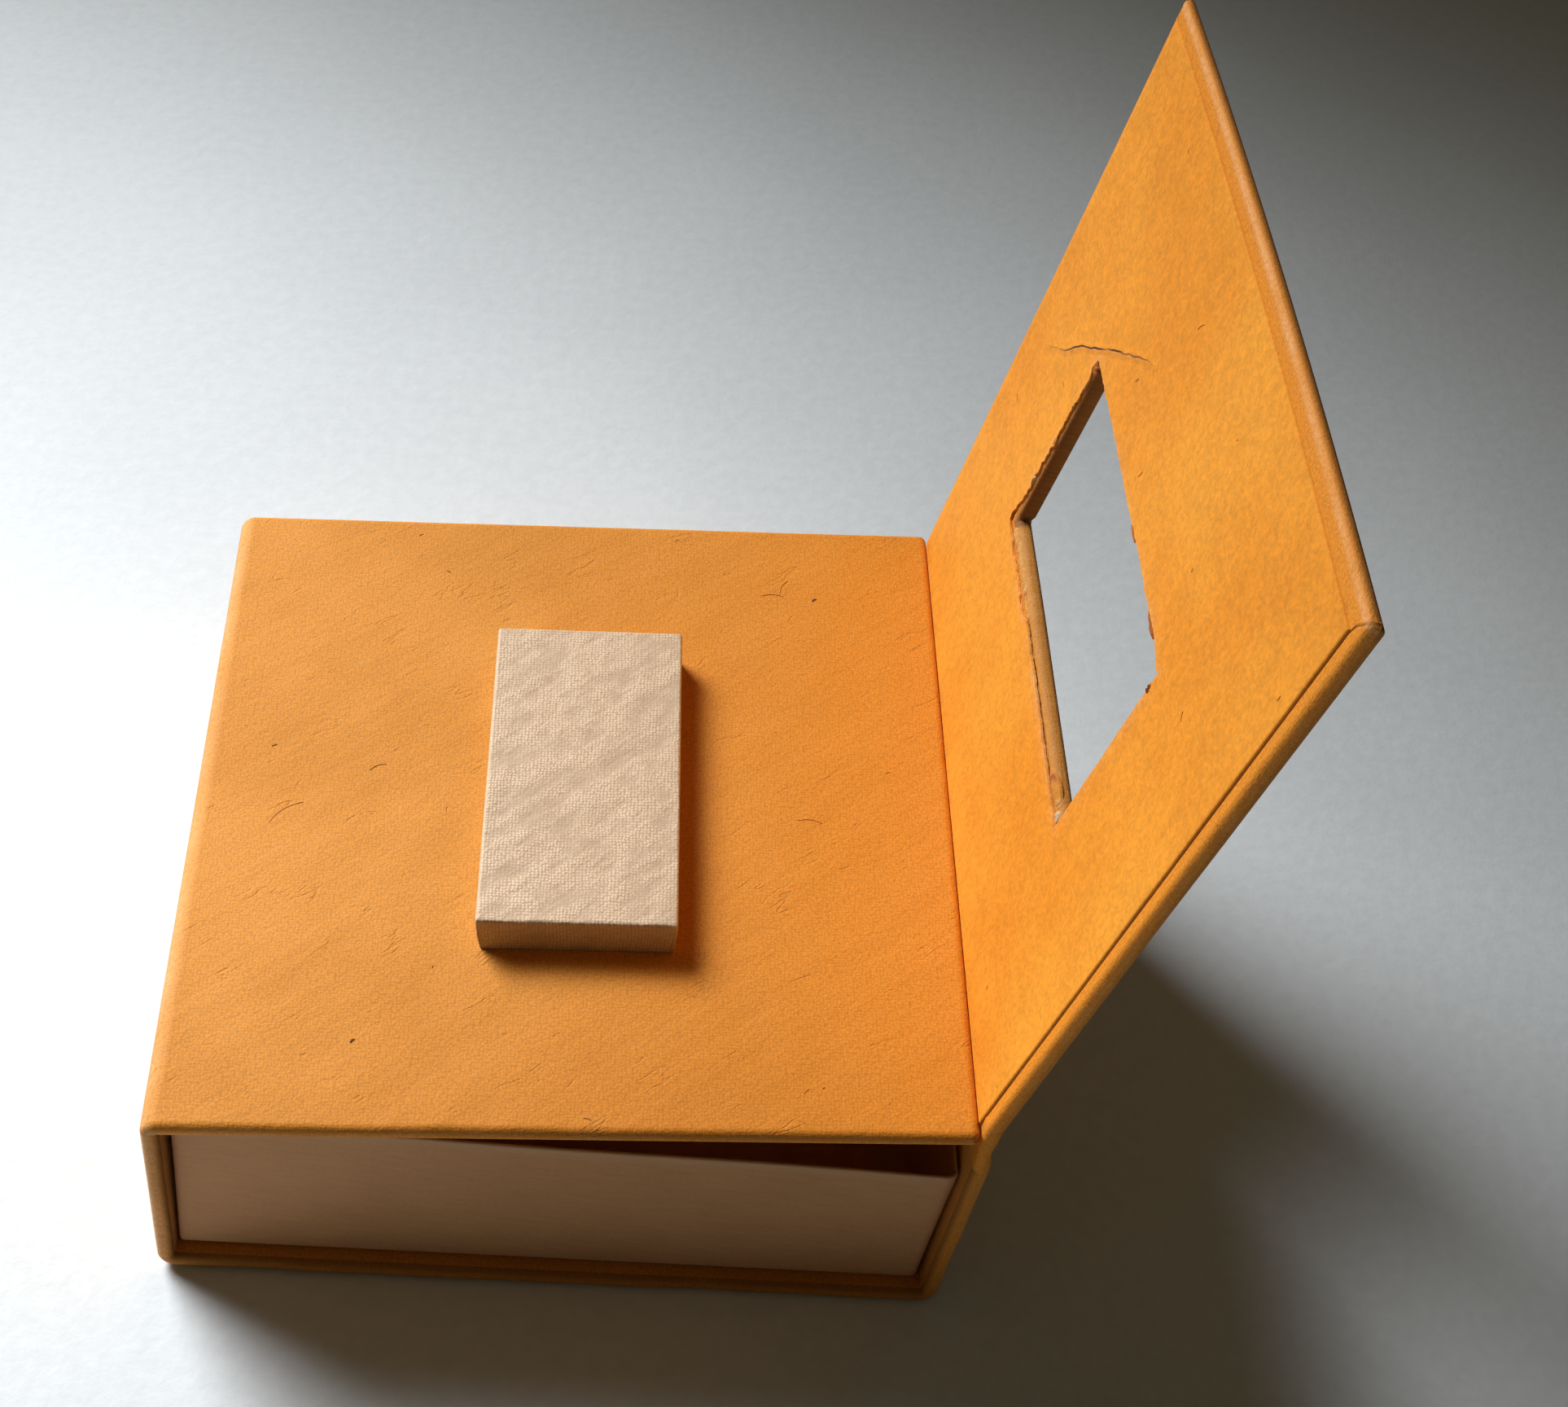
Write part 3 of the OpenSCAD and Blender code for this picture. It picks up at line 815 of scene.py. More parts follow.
class PAPERBOX_OT_flap(BoxOperator, Operator):
    """Covered board over the tray, and the rounded paper fold that carries it"""

    bl_idname = "paper_box.flap"
    bl_label = "Flap"

    def build(self, sizes, wear, tint):
        self.board(sizes, wear, tint)
        self.fold(sizes, tint)

    def board(self, sizes, wear, tint):
        """Two sheets over the flap's plan. The free edges fall by a quarter circle, the two free corners
        are rounded by narrowing the last lines, and the upper sheet cockles in low waves."""
        edge, end, corner = sizes.edge, sizes.flap, sizes.flap_corner
        x = spaced((0, 0.9), (end - 2, 0.25), (end - edge, TO_EDGE), (end, 0))
        y = spaced(
            (-HALF_D, FROM_EDGE), (edge - HALF_D, 0.25), (2 - HALF_D, 0.9),
            (HALF_D - 2, 0.25), (HALF_D - edge, TO_EDGE), (HALF_D, 0),
        )
        x, y = crossed(x, y)
        across, ends = nearness(end - x, edge), nearness(HALF_D - np.abs(y), edge)
        near = held(np.hypot(across, ends))
        fall = rounding(near, edge)
        wave = ripple(x, y, 34, 21) + 0.5 * ripple(x, y, 11, 22)
        wave = wear.cockle * wave * held(x / 8) * (1 - near)
        inside = narrowed(x, y, end, corner)
        sheets = [on_flap(x, inside, BOARD - fall + wave), on_flap(x, inside, fall)]
        rub = 0.12 * near ** 2 * held(0.45 + 0.6 * ripple(x, y, 6, 23))
        # painted shade: a darker patch at the front right, beside the block's soft shadow, and a darkening
        # towards the right, away from the lamp
        front_shade_patch = bell(np.hypot(0.5 * (x - 64), y + 54), 20)
        painted_shade = 0.2 * front_shade_patch + 0.08 * held((x - 30) / 45)
        place = sheet_of(x + across * fall, y + np.sign(y) * ends * fall, 0)
        # a deeper, more saturated tone towards the right and in the same front patch, which leaves the left
        # paler as a painted glare
        front_deep_patch = bell(np.hypot(0.55 * (x - 62), y + 54), 20)
        fresh = held(0.7 * held((x - 40) / 55) + 0.5 * front_deep_patch + 0.6 * near)
        shape = paper(sheets, place, [rub, 0.3 * rub], [painted_shade, 0 * painted_shade], fresh)
        piece = add_piece("flap_cover", *shape, orange_cloth_paper(tint))
        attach(piece, "flap")
        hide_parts("inner_flap")

    def fold(self, sizes, tint):
        """Paper carried round the flap's axis, on an arc of the board's thickness, from the wall's outer
        face to the flap's upper face, and filled almost to the axis. A stripe round its outer shoulder is
        paled as a painted highlight."""
        sweep, edge = np.pi / 2 - FLAP_LIFT, sizes.edge
        angle, y = crossed(np.linspace(0, sweep, 24), between_edges(HALF_D, edge, 1.2))
        fall = rounding(nearness(HALF_D - np.abs(y), edge), edge)
        crush = 0.05 * ripple(angle * 3, y, 9, 31) * np.sin(np.pi * angle / sweep)

        def face(radius):
            return np.stack([FLAP_X - radius * np.cos(angle), y, FLAP_Z + radius * np.sin(angle)], -1)

        # painted highlight on the fold's outer shoulder, which faces the lamp
        highlight_band = bell(angle / sweep - 0.42, 0.34) * held(0.75 + 0.35 * ripple(angle * 3, y, 14, 32))
        sheets = [face(BOARD - fall + crush), face(0.05 + fall)]
        place = sheet_of((angle - sweep) * BOARD, y, 0)
        shape = paper(sheets, place, [0.48 * highlight_band, 0 * highlight_band])
        piece = add_piece("flap_fold_paper", *shape, orange_cloth_paper(tint))
        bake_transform(piece)
        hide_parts("flap_fold")


class PAPERBOX_OT_block(BoxOperator, Operator):
    """Paper-covered block that the lid's window drops over"""

    bl_idname = "paper_box.block"
    bl_label = "Block"

    # Each rim down the sides: share of the height, how far its sides and its ends are drawn in, and
    # how dark it is, as painted shade at the foot
    rims = (
        (0.75, 0.04, 0.0, 0.0), (0.5, 0.12, -0.03, 0.0), (0.25, 0.25, -0.06, 0.0),
        (0.08, 0.4, -0.1, 0.1), (0.0, 0.5, -0.12, 0.7),
    )
    skew = math.radians(-0.5)
    shift = -0.2

    def build(self, sizes, wear, tint):
        """Sheets over the block's plan, one under another: a dented top whose edges fall by a quarter
        circle, and rims down the sides, which draw in to a ragged foot. In each corner's own square, the
        upright edge is rounded by a' = a * sqrt(1 - b * b / 2)."""
        half_w, half_d, tall = sizes.block_w / 2, sizes.block_d / 2, sizes.block_h
        edge, corner = sizes.block_edge, sizes.block_corner
        x, y = (between_edges(half, edge, 0.3) for half in (half_w, half_d))
        x, y = crossed(x, y)
        a = np.clip(np.abs(x) - half_w + corner, 0, None) / corner
        b = np.clip(np.abs(y) - half_d + corner, 0, None) / corner
        px = np.sign(x) * (np.minimum(np.abs(x), half_w - corner) + corner * a * np.sqrt(1 - b * b / 2))
        py = np.sign(y) * (np.minimum(np.abs(y), half_d - corner) + corner * b * np.sqrt(1 - a * a / 2))
        side, end = nearness(half_w - np.abs(x), edge), nearness(half_d - np.abs(y), edge)
        near = held(np.hypot(side, end))
        slant = 0.7 * (y - x)
        dent = ripple(x, y, 9, 41) + 0.6 * ripple(x, y, 4, 42) + 0.55 * ripple(slant, 0.25 * (x + y), 6, 43)
        chip = bell(np.hypot(x - half_w, y + half_d), 1.0)
        top = tall - rounding(near, edge) + 0.7 * wear.cockle * dent * (1 - near) - 0.3 * chip
        rag = 0.07 * ripple(x, y, 3, 44)

        def level(h, in_side, in_end):
            draw_x, draw_y = px * (1 - in_side / half_w), py * (1 - in_end / half_d)
            turned_x = draw_x * math.cos(self.skew) - draw_y * math.sin(self.skew)
            turned_y = draw_x * math.sin(self.skew) + draw_y * math.cos(self.skew)
            return on_flap(turned_x + self.shift - FLAP_X, turned_y, BOARD + h)

        heights = [share * (tall - edge) - 0.1 * (share == 0) for share, *_ in self.rims]
        sheets = [level(top, 0, 0)]
        for h, (_, in_side, in_end, _) in zip(heights, self.rims):
            foot = rag * (h < 1)
            sheets.append(level(h + 0 * x, in_side + foot, in_end + foot))

        def place(drop):
            return sheet_of(x + np.sign(x) * side * drop, y + np.sign(y) * end * drop, 0.5)

        places = [place(0)] + [place(tall - h) for h in heights]
        # painted highlight along the top's edges, strongest on the left edge, which faces the lamp; the chip
        # at the front right corner is real
        highlight_share = np.where(end > side, 0.15, np.where(x < 0, 1.0, 0.3))
        pale = bell(near - 0.55, 0.4) * (near > 0) * highlight_share + chip
        rub = [held(pale)] + [0.15 * (share > 0.6) + 0 * x for share, *_ in self.rims]
        # painted shade at the foot, where the block sits on the flap
        soil = [0 * x] + [foot_shade + 0 * x for *_, foot_shade in self.rims]
        piece = add_piece("block_cover", *paper(sheets, places, rub, soil), cream_cloth_paper(tint))
        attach(piece, "flap")
        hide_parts("closing_block")


class PAPERBOX_OT_lid(BoxOperator, Operator):
    """Outer covered board with its window, and the soft strip that carries it"""

    bl_idname = "paper_box.lid"
    bl_label = "Lid"

    def build(self, sizes, wear, tint):
        self.board(sizes, wear, tint)
        self.strip(sizes, wear, tint)

    def board(self, sizes, wear, tint):
        """Two sheets over the lid's plan, less the window's cells. Edges fall by a quarter circle, with a
        full roll on the window's hinge side, and the outer sheet wears away towards the fore edge. The
        inner sheet has a wavy crack beside the roll, and a groove along the lining's front edge that
        turns along the mitre of the turned-in paper. Crack and groove are darkened as painted shade, as
        are the fore edge's outline and the window's back reveal, and the roll is darker towards the
        opening; the outer sheet is darkened as painted shade on the back reveal, along the front edge and
        towards the fore edge; and the fore edge's inner shoulder is paled as a painted highlight."""
        edge, fore_edge, start, end = sizes.edge, sizes.fore_edge, sizes.lid_start, sizes.lid
        near, far, half = sizes.window_near, sizes.window_far, sizes.window_half
        roll, crisp, worn_run, worn_depth = sizes.window_roll, 0.45, 3.0, 1.7
        u = spaced(
            (start, 0.9), (near - 2.6, 0.08), (near - roll, TO_EDGE), (near, 0.9), (far, FROM_EDGE),
            (far + crisp, 0.9), (end - 5.5, 0.2), (end - fore_edge, TO_EDGE), (end, 0),
        )
        y = spaced(
            (-HALF_D, FROM_EDGE), (edge - HALF_D, 0.08), (3.2 - HALF_D, 0.9), (-half - crisp, TO_EDGE),
            (-half, 0.7), (half, FROM_EDGE), (half + crisp, 0.9), (HALF_D - 2, 0.2),
            (HALF_D - edge, TO_EDGE), (HALF_D, 0),
        )
        keep = around(u, y, near, far, -half, half)
        u, y = crossed(u, y)
        fore, ends = nearness(end - u, fore_edge), nearness(HALF_D - np.abs(y), edge)
        rim = held(np.hypot(fore, ends))
        off_u = np.maximum(np.maximum(near - u, u - far), 0)
        off_window = np.hypot(off_u, np.maximum(np.abs(y) - half, 0))
        hinge_side = u < near + 0.01
        rim_radius, reveal_radius = np.where(fore > ends, fore_edge, edge), np.where(hinge_side, roll, crisp)
        reveal = nearness(off_window, reveal_radius)
        fall = np.maximum(rounding(rim, rim_radius), rounding(reveal, reveal_radius))
        wave = wear.cockle * ripple(u, y, 30, 51) * (1 - np.maximum(rim, reveal))

        beside = near - roll - 0.1
        beside = beside - 0.16 * ripple(y, 0 * y, 7, 52) - 0.08 * ripple(y, 0 * y, 1.7, 53)
        # the crack's groove is darkened below as painted shade
        crack = bell(u - beside, 0.12) * held((10 - y) / 3) * held((y + 18.5) / 3)
        front, turn_u = sizes.lining_front - HALF_D - 0.06, end - sizes.lining_fore_front
        mitre = [
            (start, front), (turn_u - 0.4, front), (turn_u + 1.0, front - 0.35), (end - 0.3, 0.5 - HALF_D),
        ]
        # painted shade in the groove along the lining's front edge, which faces away from the lamp, and on
        # down the mitre
        line = bell(from_path(u, y, mitre), 0.09) * (1 - 0.5 * rim)
        back = HALF_D - sizes.lining_back
        tick = 0.6 * bell(from_path(u, y, [(end - sizes.lining_fore_back, back), (end, HALF_D)]), 0.25)
        groove = 0.45 * crack + 0.2 * line + 0.15 * tick

        depth = narrowed(u, y, end, sizes.lid_corner)
        worn_off = nearness(end - u, worn_run)
        outer_fall = np.minimum(np.maximum(fall, rounding(worn_off, worn_depth)), BOARD - fall)
        sheets = [
            on_lid(u, depth, BOARD / 2 - outer_fall + wave * (1 - worn_off), wear, sizes),
            on_lid(u, depth, fall - BOARD / 2 + groove * (1 - rim), wear, sizes),
        ]
        rub = 0.1 * rim ** 2 * held(0.45 + 0.6 * ripple(u, y, 6, 54))
        # painted highlight along the fore edge's inner shoulder
        ridge = 0.6 * bell(end - u - 0.8, 0.5) * held(0.8 + 0.4 * ripple(y, 0 * y, 11, 56))
        torn = 0.2 * reveal * np.where(u < near, 1.0, 0.3) * held(0.6 + 0.4 * ripple(u, y, 3, 55))
        # painted shade along the fore edge's outline, where it turns from the lamp
        outline_shade = 0.3 * bell(end - u, 0.2)
        # painted shade on the window's back reveal
        back_reveal_shade = 0.6 * held(1.8 - np.abs(y - half) / 0.8) * (u > near - 1.2) * (u < far + 0.5)
        # darker towards the opening's edge on the hinge side's roll
        turned_under = 0.22 * held(2 * reveal - 0.8) * hinge_side
        soil = 0.85 * crack + 0.75 * line + 0.4 * tick + outline_shade + back_reveal_shade + turned_under
        soil = np.clip(soil, 0, 0.9)
        place_u, place_y = u + hinge_side * reveal * fall, y + np.sign(y) * ends * fall
        places = [sheet_of(place_u + drop, place_y, 5) for drop in (worn_off * outer_fall, fore * fall)]
        rub = np.maximum(rub, torn)
        rubs = [rub, np.maximum(rub, ridge)]
        fresh = held(0.9 - 1.2 * nearness(off_window, 3.5))
        # painted shade on the outer sheet: the back reveal, the front edge and the last of the fore edge
        outer_shade = np.clip(0.5 * back_reveal_shade + 0.15 * ends * (y < 0) + 0.45 * worn_off, 0, 0.6)
        shape = paper(sheets, places, rubs, [outer_shade, soil], fresh, keep)
        piece = add_piece("lid_cover", *shape, orange_cloth_paper(tint))
        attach(piece, "lid")
        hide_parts("lid")

    def strip(self, sizes, wear, tint):
        """Soft strip, as thick as the boards that it joins. Each face is a cubic from the wall's face,
        straight up, to the lid's face, along the lid; a crease dips into the outer one above the wall."""
        edge = sizes.edge
        t, y = crossed(np.linspace(0, 1, 40), between_edges(HALF_D, edge, 1.2))
        run = t * 10
        rise, lean = np.array([0, 0, 1.0]), np.array([-math.cos(LID_OPEN), 0, math.sin(LID_OPEN)])
        out = np.array([1.0, 0, 0])
        w = t[..., None]
        fall = rounding(nearness(HALF_D - np.abs(y), edge), edge)
        dip = sizes.hinge_valley * bell(t - 0.4, 0.22)
        crush = 0.06 * ripple(run, y, 8, 61) * np.sin(np.pi * t)

        def face(side, inward):
            foot = np.stack([0 * y + HALF_W - BOARD / 2 + side * BOARD / 2, y, 0 * y + CASE_TOP], -1)
            top = on_lid(0 * y + sizes.lid_start, y, side * BOARD / 2, wear, sizes)
            pull = np.linalg.norm(top - foot, axis=-1, keepdims=True)
            path = (2 * w ** 3 - 3 * w ** 2 + 1) * foot + (w ** 3 - 2 * w ** 2 + w) * pull * rise
            path = path + (3 * w ** 2 - 2 * w ** 3) * top + (w ** 3 - w ** 2) * pull * lean
            return path - side * out * inward[..., None]

        sheets = [face(1, fall + dip + crush), face(-1, fall)]
        shape = paper(sheets, sheet_of(run - 2, y + np.sign(y) * fall, 5), fresh=0.8)
        piece = add_piece("lid_fold_paper", *shape, orange_cloth_paper(tint))
        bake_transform(piece)
        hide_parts("lid_fold")


class PAPERBOX_OT_lining(BoxOperator, Operator):
    """Sheet pasted inside the lid, torn round the window and cracked above it"""

    bl_idname = "paper_box.lining"
    bl_label = "Lining"

    # The crack's course on the lid, as distances from its axis and from its middle
    crack_u = (53.6, 57.0, 60.0, 64.0, 67.2, 70.0, 72.6, 76.0, 79.3, 80.5)
    crack_y = (46.6, 41.8, 38.0, 34.3, 30.7, 26.9, 24.0, 19.2, 14.1, 11.5)

    def build(self, sizes, wear, tint):
        shapes = [self.sheet(sizes, wear), self.crack(sizes, wear)]
        piece = add_piece("lining_sheet", *joined(shapes), orange_lining_paper(tint))
        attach(piece, "lid")
        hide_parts("lid_lining")

    def sheet(self, sizes, wear):
        """Two sheets over the lining's plan, less the window. The grid lines beside the window bend to a
        ragged tear, deepest at the back of the hinge side and along the back, and its edges lift."""
        start, front = sizes.lining_start, sizes.lining_front - HALF_D
        back, end = HALF_D - sizes.lining_back, sizes.lid - sizes.lining_fore_front
        near, far = sizes.window_near - sizes.window_roll + 0.05, sizes.window_far
        fore_y, back_y, tear_reach = 0.12 - sizes.window_half, sizes.window_half + 0.35, 1.1
        u = spaced(
            (start, 0.9), (near - 3.4, 0.2), (near, 0.3), (far, 0.2),
            (far + 1.6, 0.9), (end - 0.5, 0.06), (end, 0),
        )
        y = spaced(
            (front, 0.06), (front + 0.5, 0.9), (fore_y - 2, 0.25), (fore_y, 0.3),
            (back_y, 0.2), (back_y + 2.4, 0.9), (back, 0),
        )
        keep = around(u, y, near, far, fore_y, back_y)
        u, y = crossed(u, y)
        side_u = np.where(u <= near, near - u, np.maximum(u - far, 0))
        side_y = np.maximum(y - back_y, fore_y - y)
        beside_u, beside_y = held(0.6 - side_y), (u > near - 0.6) & (u < far + 0.6)
        bare = held((y - 7.5) / 1.5) * (0.75 + 0.5 * ragged(y, 75))
        bite = wear.rag * 0.5 * ragged(y, 71) + 0.9 * bare
        fray = 0.3 - wear.rag * 0.7 * ragged(y, 77) - 0.9 * bell(y - fore_y, 3.5)
        tear_u = np.where(u <= near, -bite, fray) * np.exp(-side_u / tear_reach) * beside_u
        torn_back = wear.rag * (1.7 * ragged(u, 81) + 3.0 * bell(u - near, 4) + 1.0 * bell(u - far, 1.5))
        tear_y = np.where(y > 0, torn_back, -0.3 * wear.rag * ragged(u, 85))
        tear_y = tear_y * np.exp(-np.clip(side_y, 0, None) / tear_reach) * beside_y
        narrow = (sizes.lining_fore_front - sizes.lining_fore_back) * (y - front) / (back - front)
        slant = held((u - far - 2) / (end - far - 2)) * narrow
        reach = np.hypot(np.maximum(side_u, 0), np.maximum(side_y, 0))
        close = np.exp(-reach / 0.9)
        curl = np.where(u <= near, 0.3 + 0.7 * ragged(y, 91), np.where(y > back_y, ragged(u, 92), 0.2))
        outer = np.minimum(np.minimum(end - u, y - front), back - y)
        wave = 0.5 * wear.cockle * np.maximum(ripple(u, y, 26, 93), 0) * (1 - close)
        stand = wear.lift * close * curl + wave
        face = BOARD / 2 + sizes.lining - rounding(nearness(outer, 0.4), 0.24) + stand
        at_u, at_y, lower = u + tear_u + slant, y + tear_y, BOARD / 2 - 0.02 + stand
        rub = np.clip(close * np.where(u <= near, 0.55, 0.35) * ragged(y + u, 94), 0, 0.8)
        # painted shade along the lining's front edge, which faces away from the lamp, and a fainter one
        # along its fore edge
        soil = 0.3 * nearness(y - front, 0.12) + 0.12 * nearness(end - u, 0.3)
        return lid_paper(at_u, at_y, face, lower, 8, wear, sizes, rub=rub, soil=soil, keep=keep)

    def crack(self, sizes, wear):
        """A ribbon along the crack's course, which wanders by a ripple: across it, one lip stands over
        the other with a gap between them that is darkened as painted shade, and both fade to nothing at
        the ends."""
        t, spot = np.linspace(0, 1, 170), np.linspace(0, 1, len(self.crack_u))
        along, ease = t * 46, 15
        jog = 0.14 * ripple(along, 0 * t, 9, 101) + 0.07 * ripple(along, 0 * t, 2.6, 102)
        soft = np.hanning(2 * ease + 1) / np.hanning(2 * ease + 1).sum()
        u, y = (
            np.convolve(np.pad(np.interp(t, spot, course), ease, "edge"), soft, "valid") + 0.7 * jog
            for course in (self.crack_u, self.crack_y)
        )
        way = np.stack([np.gradient(u), np.gradient(y)], -1)
        way = way / np.linalg.norm(way, axis=-1, keepdims=True)
        across = np.array([-1.1, -0.7, -0.4, -0.22, -0.13, -0.07, 0.09, 0.16, 0.3, 0.6, 1.0])
        lip = np.array([-0.06, 0.12, 0.5, 0.95, 1.0, 0.0, 0.0, 0.55, 0.45, 0.15, -0.06])
        # painted shade in the gap between the lips
        dark = np.array([0, 0, 0, 0, 0.3, 1, 1, 0.3, 0.05, 0, 0])
        fade = held(np.sin(np.pi * held(t * 1.08 - 0.04))) ** 0.6
        gap = (fade * np.clip(0.8 + 0.4 * ripple(along, 0 * t, 6, 104), 0.15, 1.2))[:, None]
        uu = u[:, None] - way[:, 1:] * across * (0.5 + 0.5 * gap)
        yy = y[:, None] + way[:, :1] * across * (0.5 + 0.5 * gap)
        face = BOARD / 2 + sizes.lining + 0.035
        rise = wear.crack * np.where(lip < 0, 4 * lip, lip * gap)
        rub = np.where((lip > 0.8) & (dark < 0.5), 0.3, 0.0) * gap
        soil = dark * held(gap * 1.2)
        return lid_paper(uu, yy, face + rise, face - 0.2 + 0 * uu, 8, wear, sizes, rub=rub, soil=soil)


class PAPERBOX_OT_tears(BoxOperator, Operator):
    """Torn ply, a blister and crumbs of cover round the window"""

    bl_idname = "paper_box.tears"
    bl_label = "Tears"

    # Each crumb: place on the lid, length, width, turn in degrees from the lid's own direction,
    # height, how pale it is, and how dark red-brown it is, which on the orange curls is partly painted shade
    crumbs = (
        (67.2, -19.2, 4.6, 0.4, 84, 0.3, 0.0, 0.75), (67.9, -16.8, 1.8, 0.35, 75, 0.25, 0.9, 0.1),
        (64.3, -27.1, 1.7, 0.8, 12, 0.5, 0.0, 0.9), (67.1, -4.0, 3.0, 0.22, 88, 0.15, 0.0, 0.6),
        (67.5, 9.5, 1.4, 0.3, 100, 0.2, 0.1, 0.6), (37.1, -25.6, 1.7, 0.7, 70, 0.3, 1.7, 0.0),
        (52.5, 27.7, 1.8, 0.6, 10, 0.3, 0.9, 0.1), (59.0, 27.8, 1.3, 0.6, -15, 0.3, 0.3, 0.35),
        (44.8, 28.0, 1.6, 0.6, 5, 0.3, 1.5, 0.0), (66.4, 27.4, 2.0, 1.1, 40, 0.35, 0.0, 0.8),
    )

    def build(self, sizes, wear, tint):
        shapes = [self.ply(sizes, wear), self.blister(sizes, wear)]
        shapes += [self.crumb(sizes, wear, seed, *crumb) for seed, crumb in enumerate(self.crumbs)]
        piece = add_piece("window_tears", *joined(shapes), torn_board(tint))
        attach(piece, "lid")

    def under(self, u, sizes):
        """Distance of the lid's inner face from its middle, with the fall of the window's roll."""
        return BOARD / 2 - rounding(nearness(sizes.window_near - u, sizes.window_roll), sizes.window_roll)

    def ply(self, sizes, wear):
        """A torn strip on the roll, narrow at first and then wide: across it, a low arch; along it, ragged
        on both sides, with red-brown scraps at its front end and where it widens."""
        first, last = 8.0, 26.6
        t, v = crossed(np.linspace(first, last, 120), np.linspace(0, 1, 9))
        fade = held((t - first) / 1.2) * held((last - t) / 0.8)
        wide = 0.35 + 0.65 * held((t - 13.5) / 1.0)
        low = sizes.window_near - 1.25 - 0.65 * ragged(t, 121) * fade * wide
        high = sizes.window_near - 1.15 + 0.75 * wide * fade + 0.15 * ripple(t, 0 * t, 2.2, 123)
        u = low + (high - low) * v
        arch = (1 - (2 * v - 1) ** 4) * (0.15 + 0.04 * ripple(t, u, 1.3, 124)) * fade
        base = self.under(u, sizes)
        rub = held(0.65 + 0.3 * ripple(t, u, 1.4, 125))
        tears = bell(t - 13.4, 0.35) + bell(t - 8.6, 0.4)
        speck = held(ripple(t, 2 * u, 0.9, 126) - 0.5)
        soil = np.clip(0.25 * bell(v, 0.1) + 0.8 * tears * (v > 0.3) + 0.6 * speck, 0, 0.9)
        return lid_paper(u, t, base + arch, base - 0.15, 10, wear, sizes, rub=rub, soil=soil)

    def blister(self, sizes, wear):
        """An oval dome of lifted cover on the roll: across it, half an ellipse, which sinks towards both
        ends. A dark sickle of painted shadow lies round its back end, and its front end is rubbed pale."""
        s, v = crossed(np.linspace(-1, 1, 60), np.linspace(-1, 1, 25))
        middle_u, middle_y, half_wide, half_run = sizes.window_near - 0.55, -21.2, 0.62, 2.6
        wide = half_wide * np.sqrt(held(1 - np.abs(s) ** 2.6)) + 0.05
        u = middle_u + 0.1 * ripple(s * 2.5, 0 * s, 4, 131) + v * wide
        y = middle_y + half_run * s
        dome = 0.05 + 0.3 * np.sqrt(held(1 - v ** 2)) * held(1 - np.abs(s) ** 3)
        base = self.under(np.minimum(u, sizes.window_near - 0.2), sizes)
        patchy = held(0.6 + 0.6 * ripple(s * 3, v, 1.2, 132))
        rub = 0.1 + 1.3 * held((-s - 0.6) / 0.3) * patchy
        # painted shadow round the blister's back end
        crescent_shadow = bell(np.hypot(s, v) - 0.85, 0.3) * held(0.45 + 0.9 * (0.8 * s - 0.6 * v))
        soil = held(1.3 * crescent_shadow)
        return lid_paper(u, y, base + dome, base - 0.25, 10, wear, sizes, rub=rub, soil=soil)

    def crumb(self, sizes, wear, seed, u, y, run, width, degrees, height, pale, red):
        """A crumpled scrap: an oval of uneven outline, domed and creased by ripples."""
        s, v = crossed(np.linspace(-1, 1, 15), np.linspace(-1, 1, 8))
        outline = np.sqrt(np.clip(1 - s ** 2, 0.04, 1)) * (1 + 0.35 * ripple(s * 2, v, 1.6, 141 + seed))
        ahead, aside, turn = s * run / 2, v * width / 2 * outline, math.radians(degrees)
        uu = u + ahead * math.cos(turn) - aside * math.sin(turn)
        yy = y + ahead * math.sin(turn) + aside * math.cos(turn)
        crease = 0.8 + 0.4 * ripple(s * 2, v * 2, 1.4, 161 + seed)
        dome = height * (1 - v ** 2) * (1 - 0.7 * s ** 2) * crease
        base = self.under(np.minimum(uu, sizes.window_near - 0.3), sizes)
        base = np.where(uu > sizes.window_near, BOARD / 2 + 0.1, base)
        # the red-brown darkening is partly painted shade on the curled scraps
        rub, soil = pale + 0 * s, red * (0.7 + 0.3 * s * s)
        return lid_paper(uu, yy, base + 0.08 + dome, base - 0.35, 10, wear, sizes, rub=rub, soil=soil)


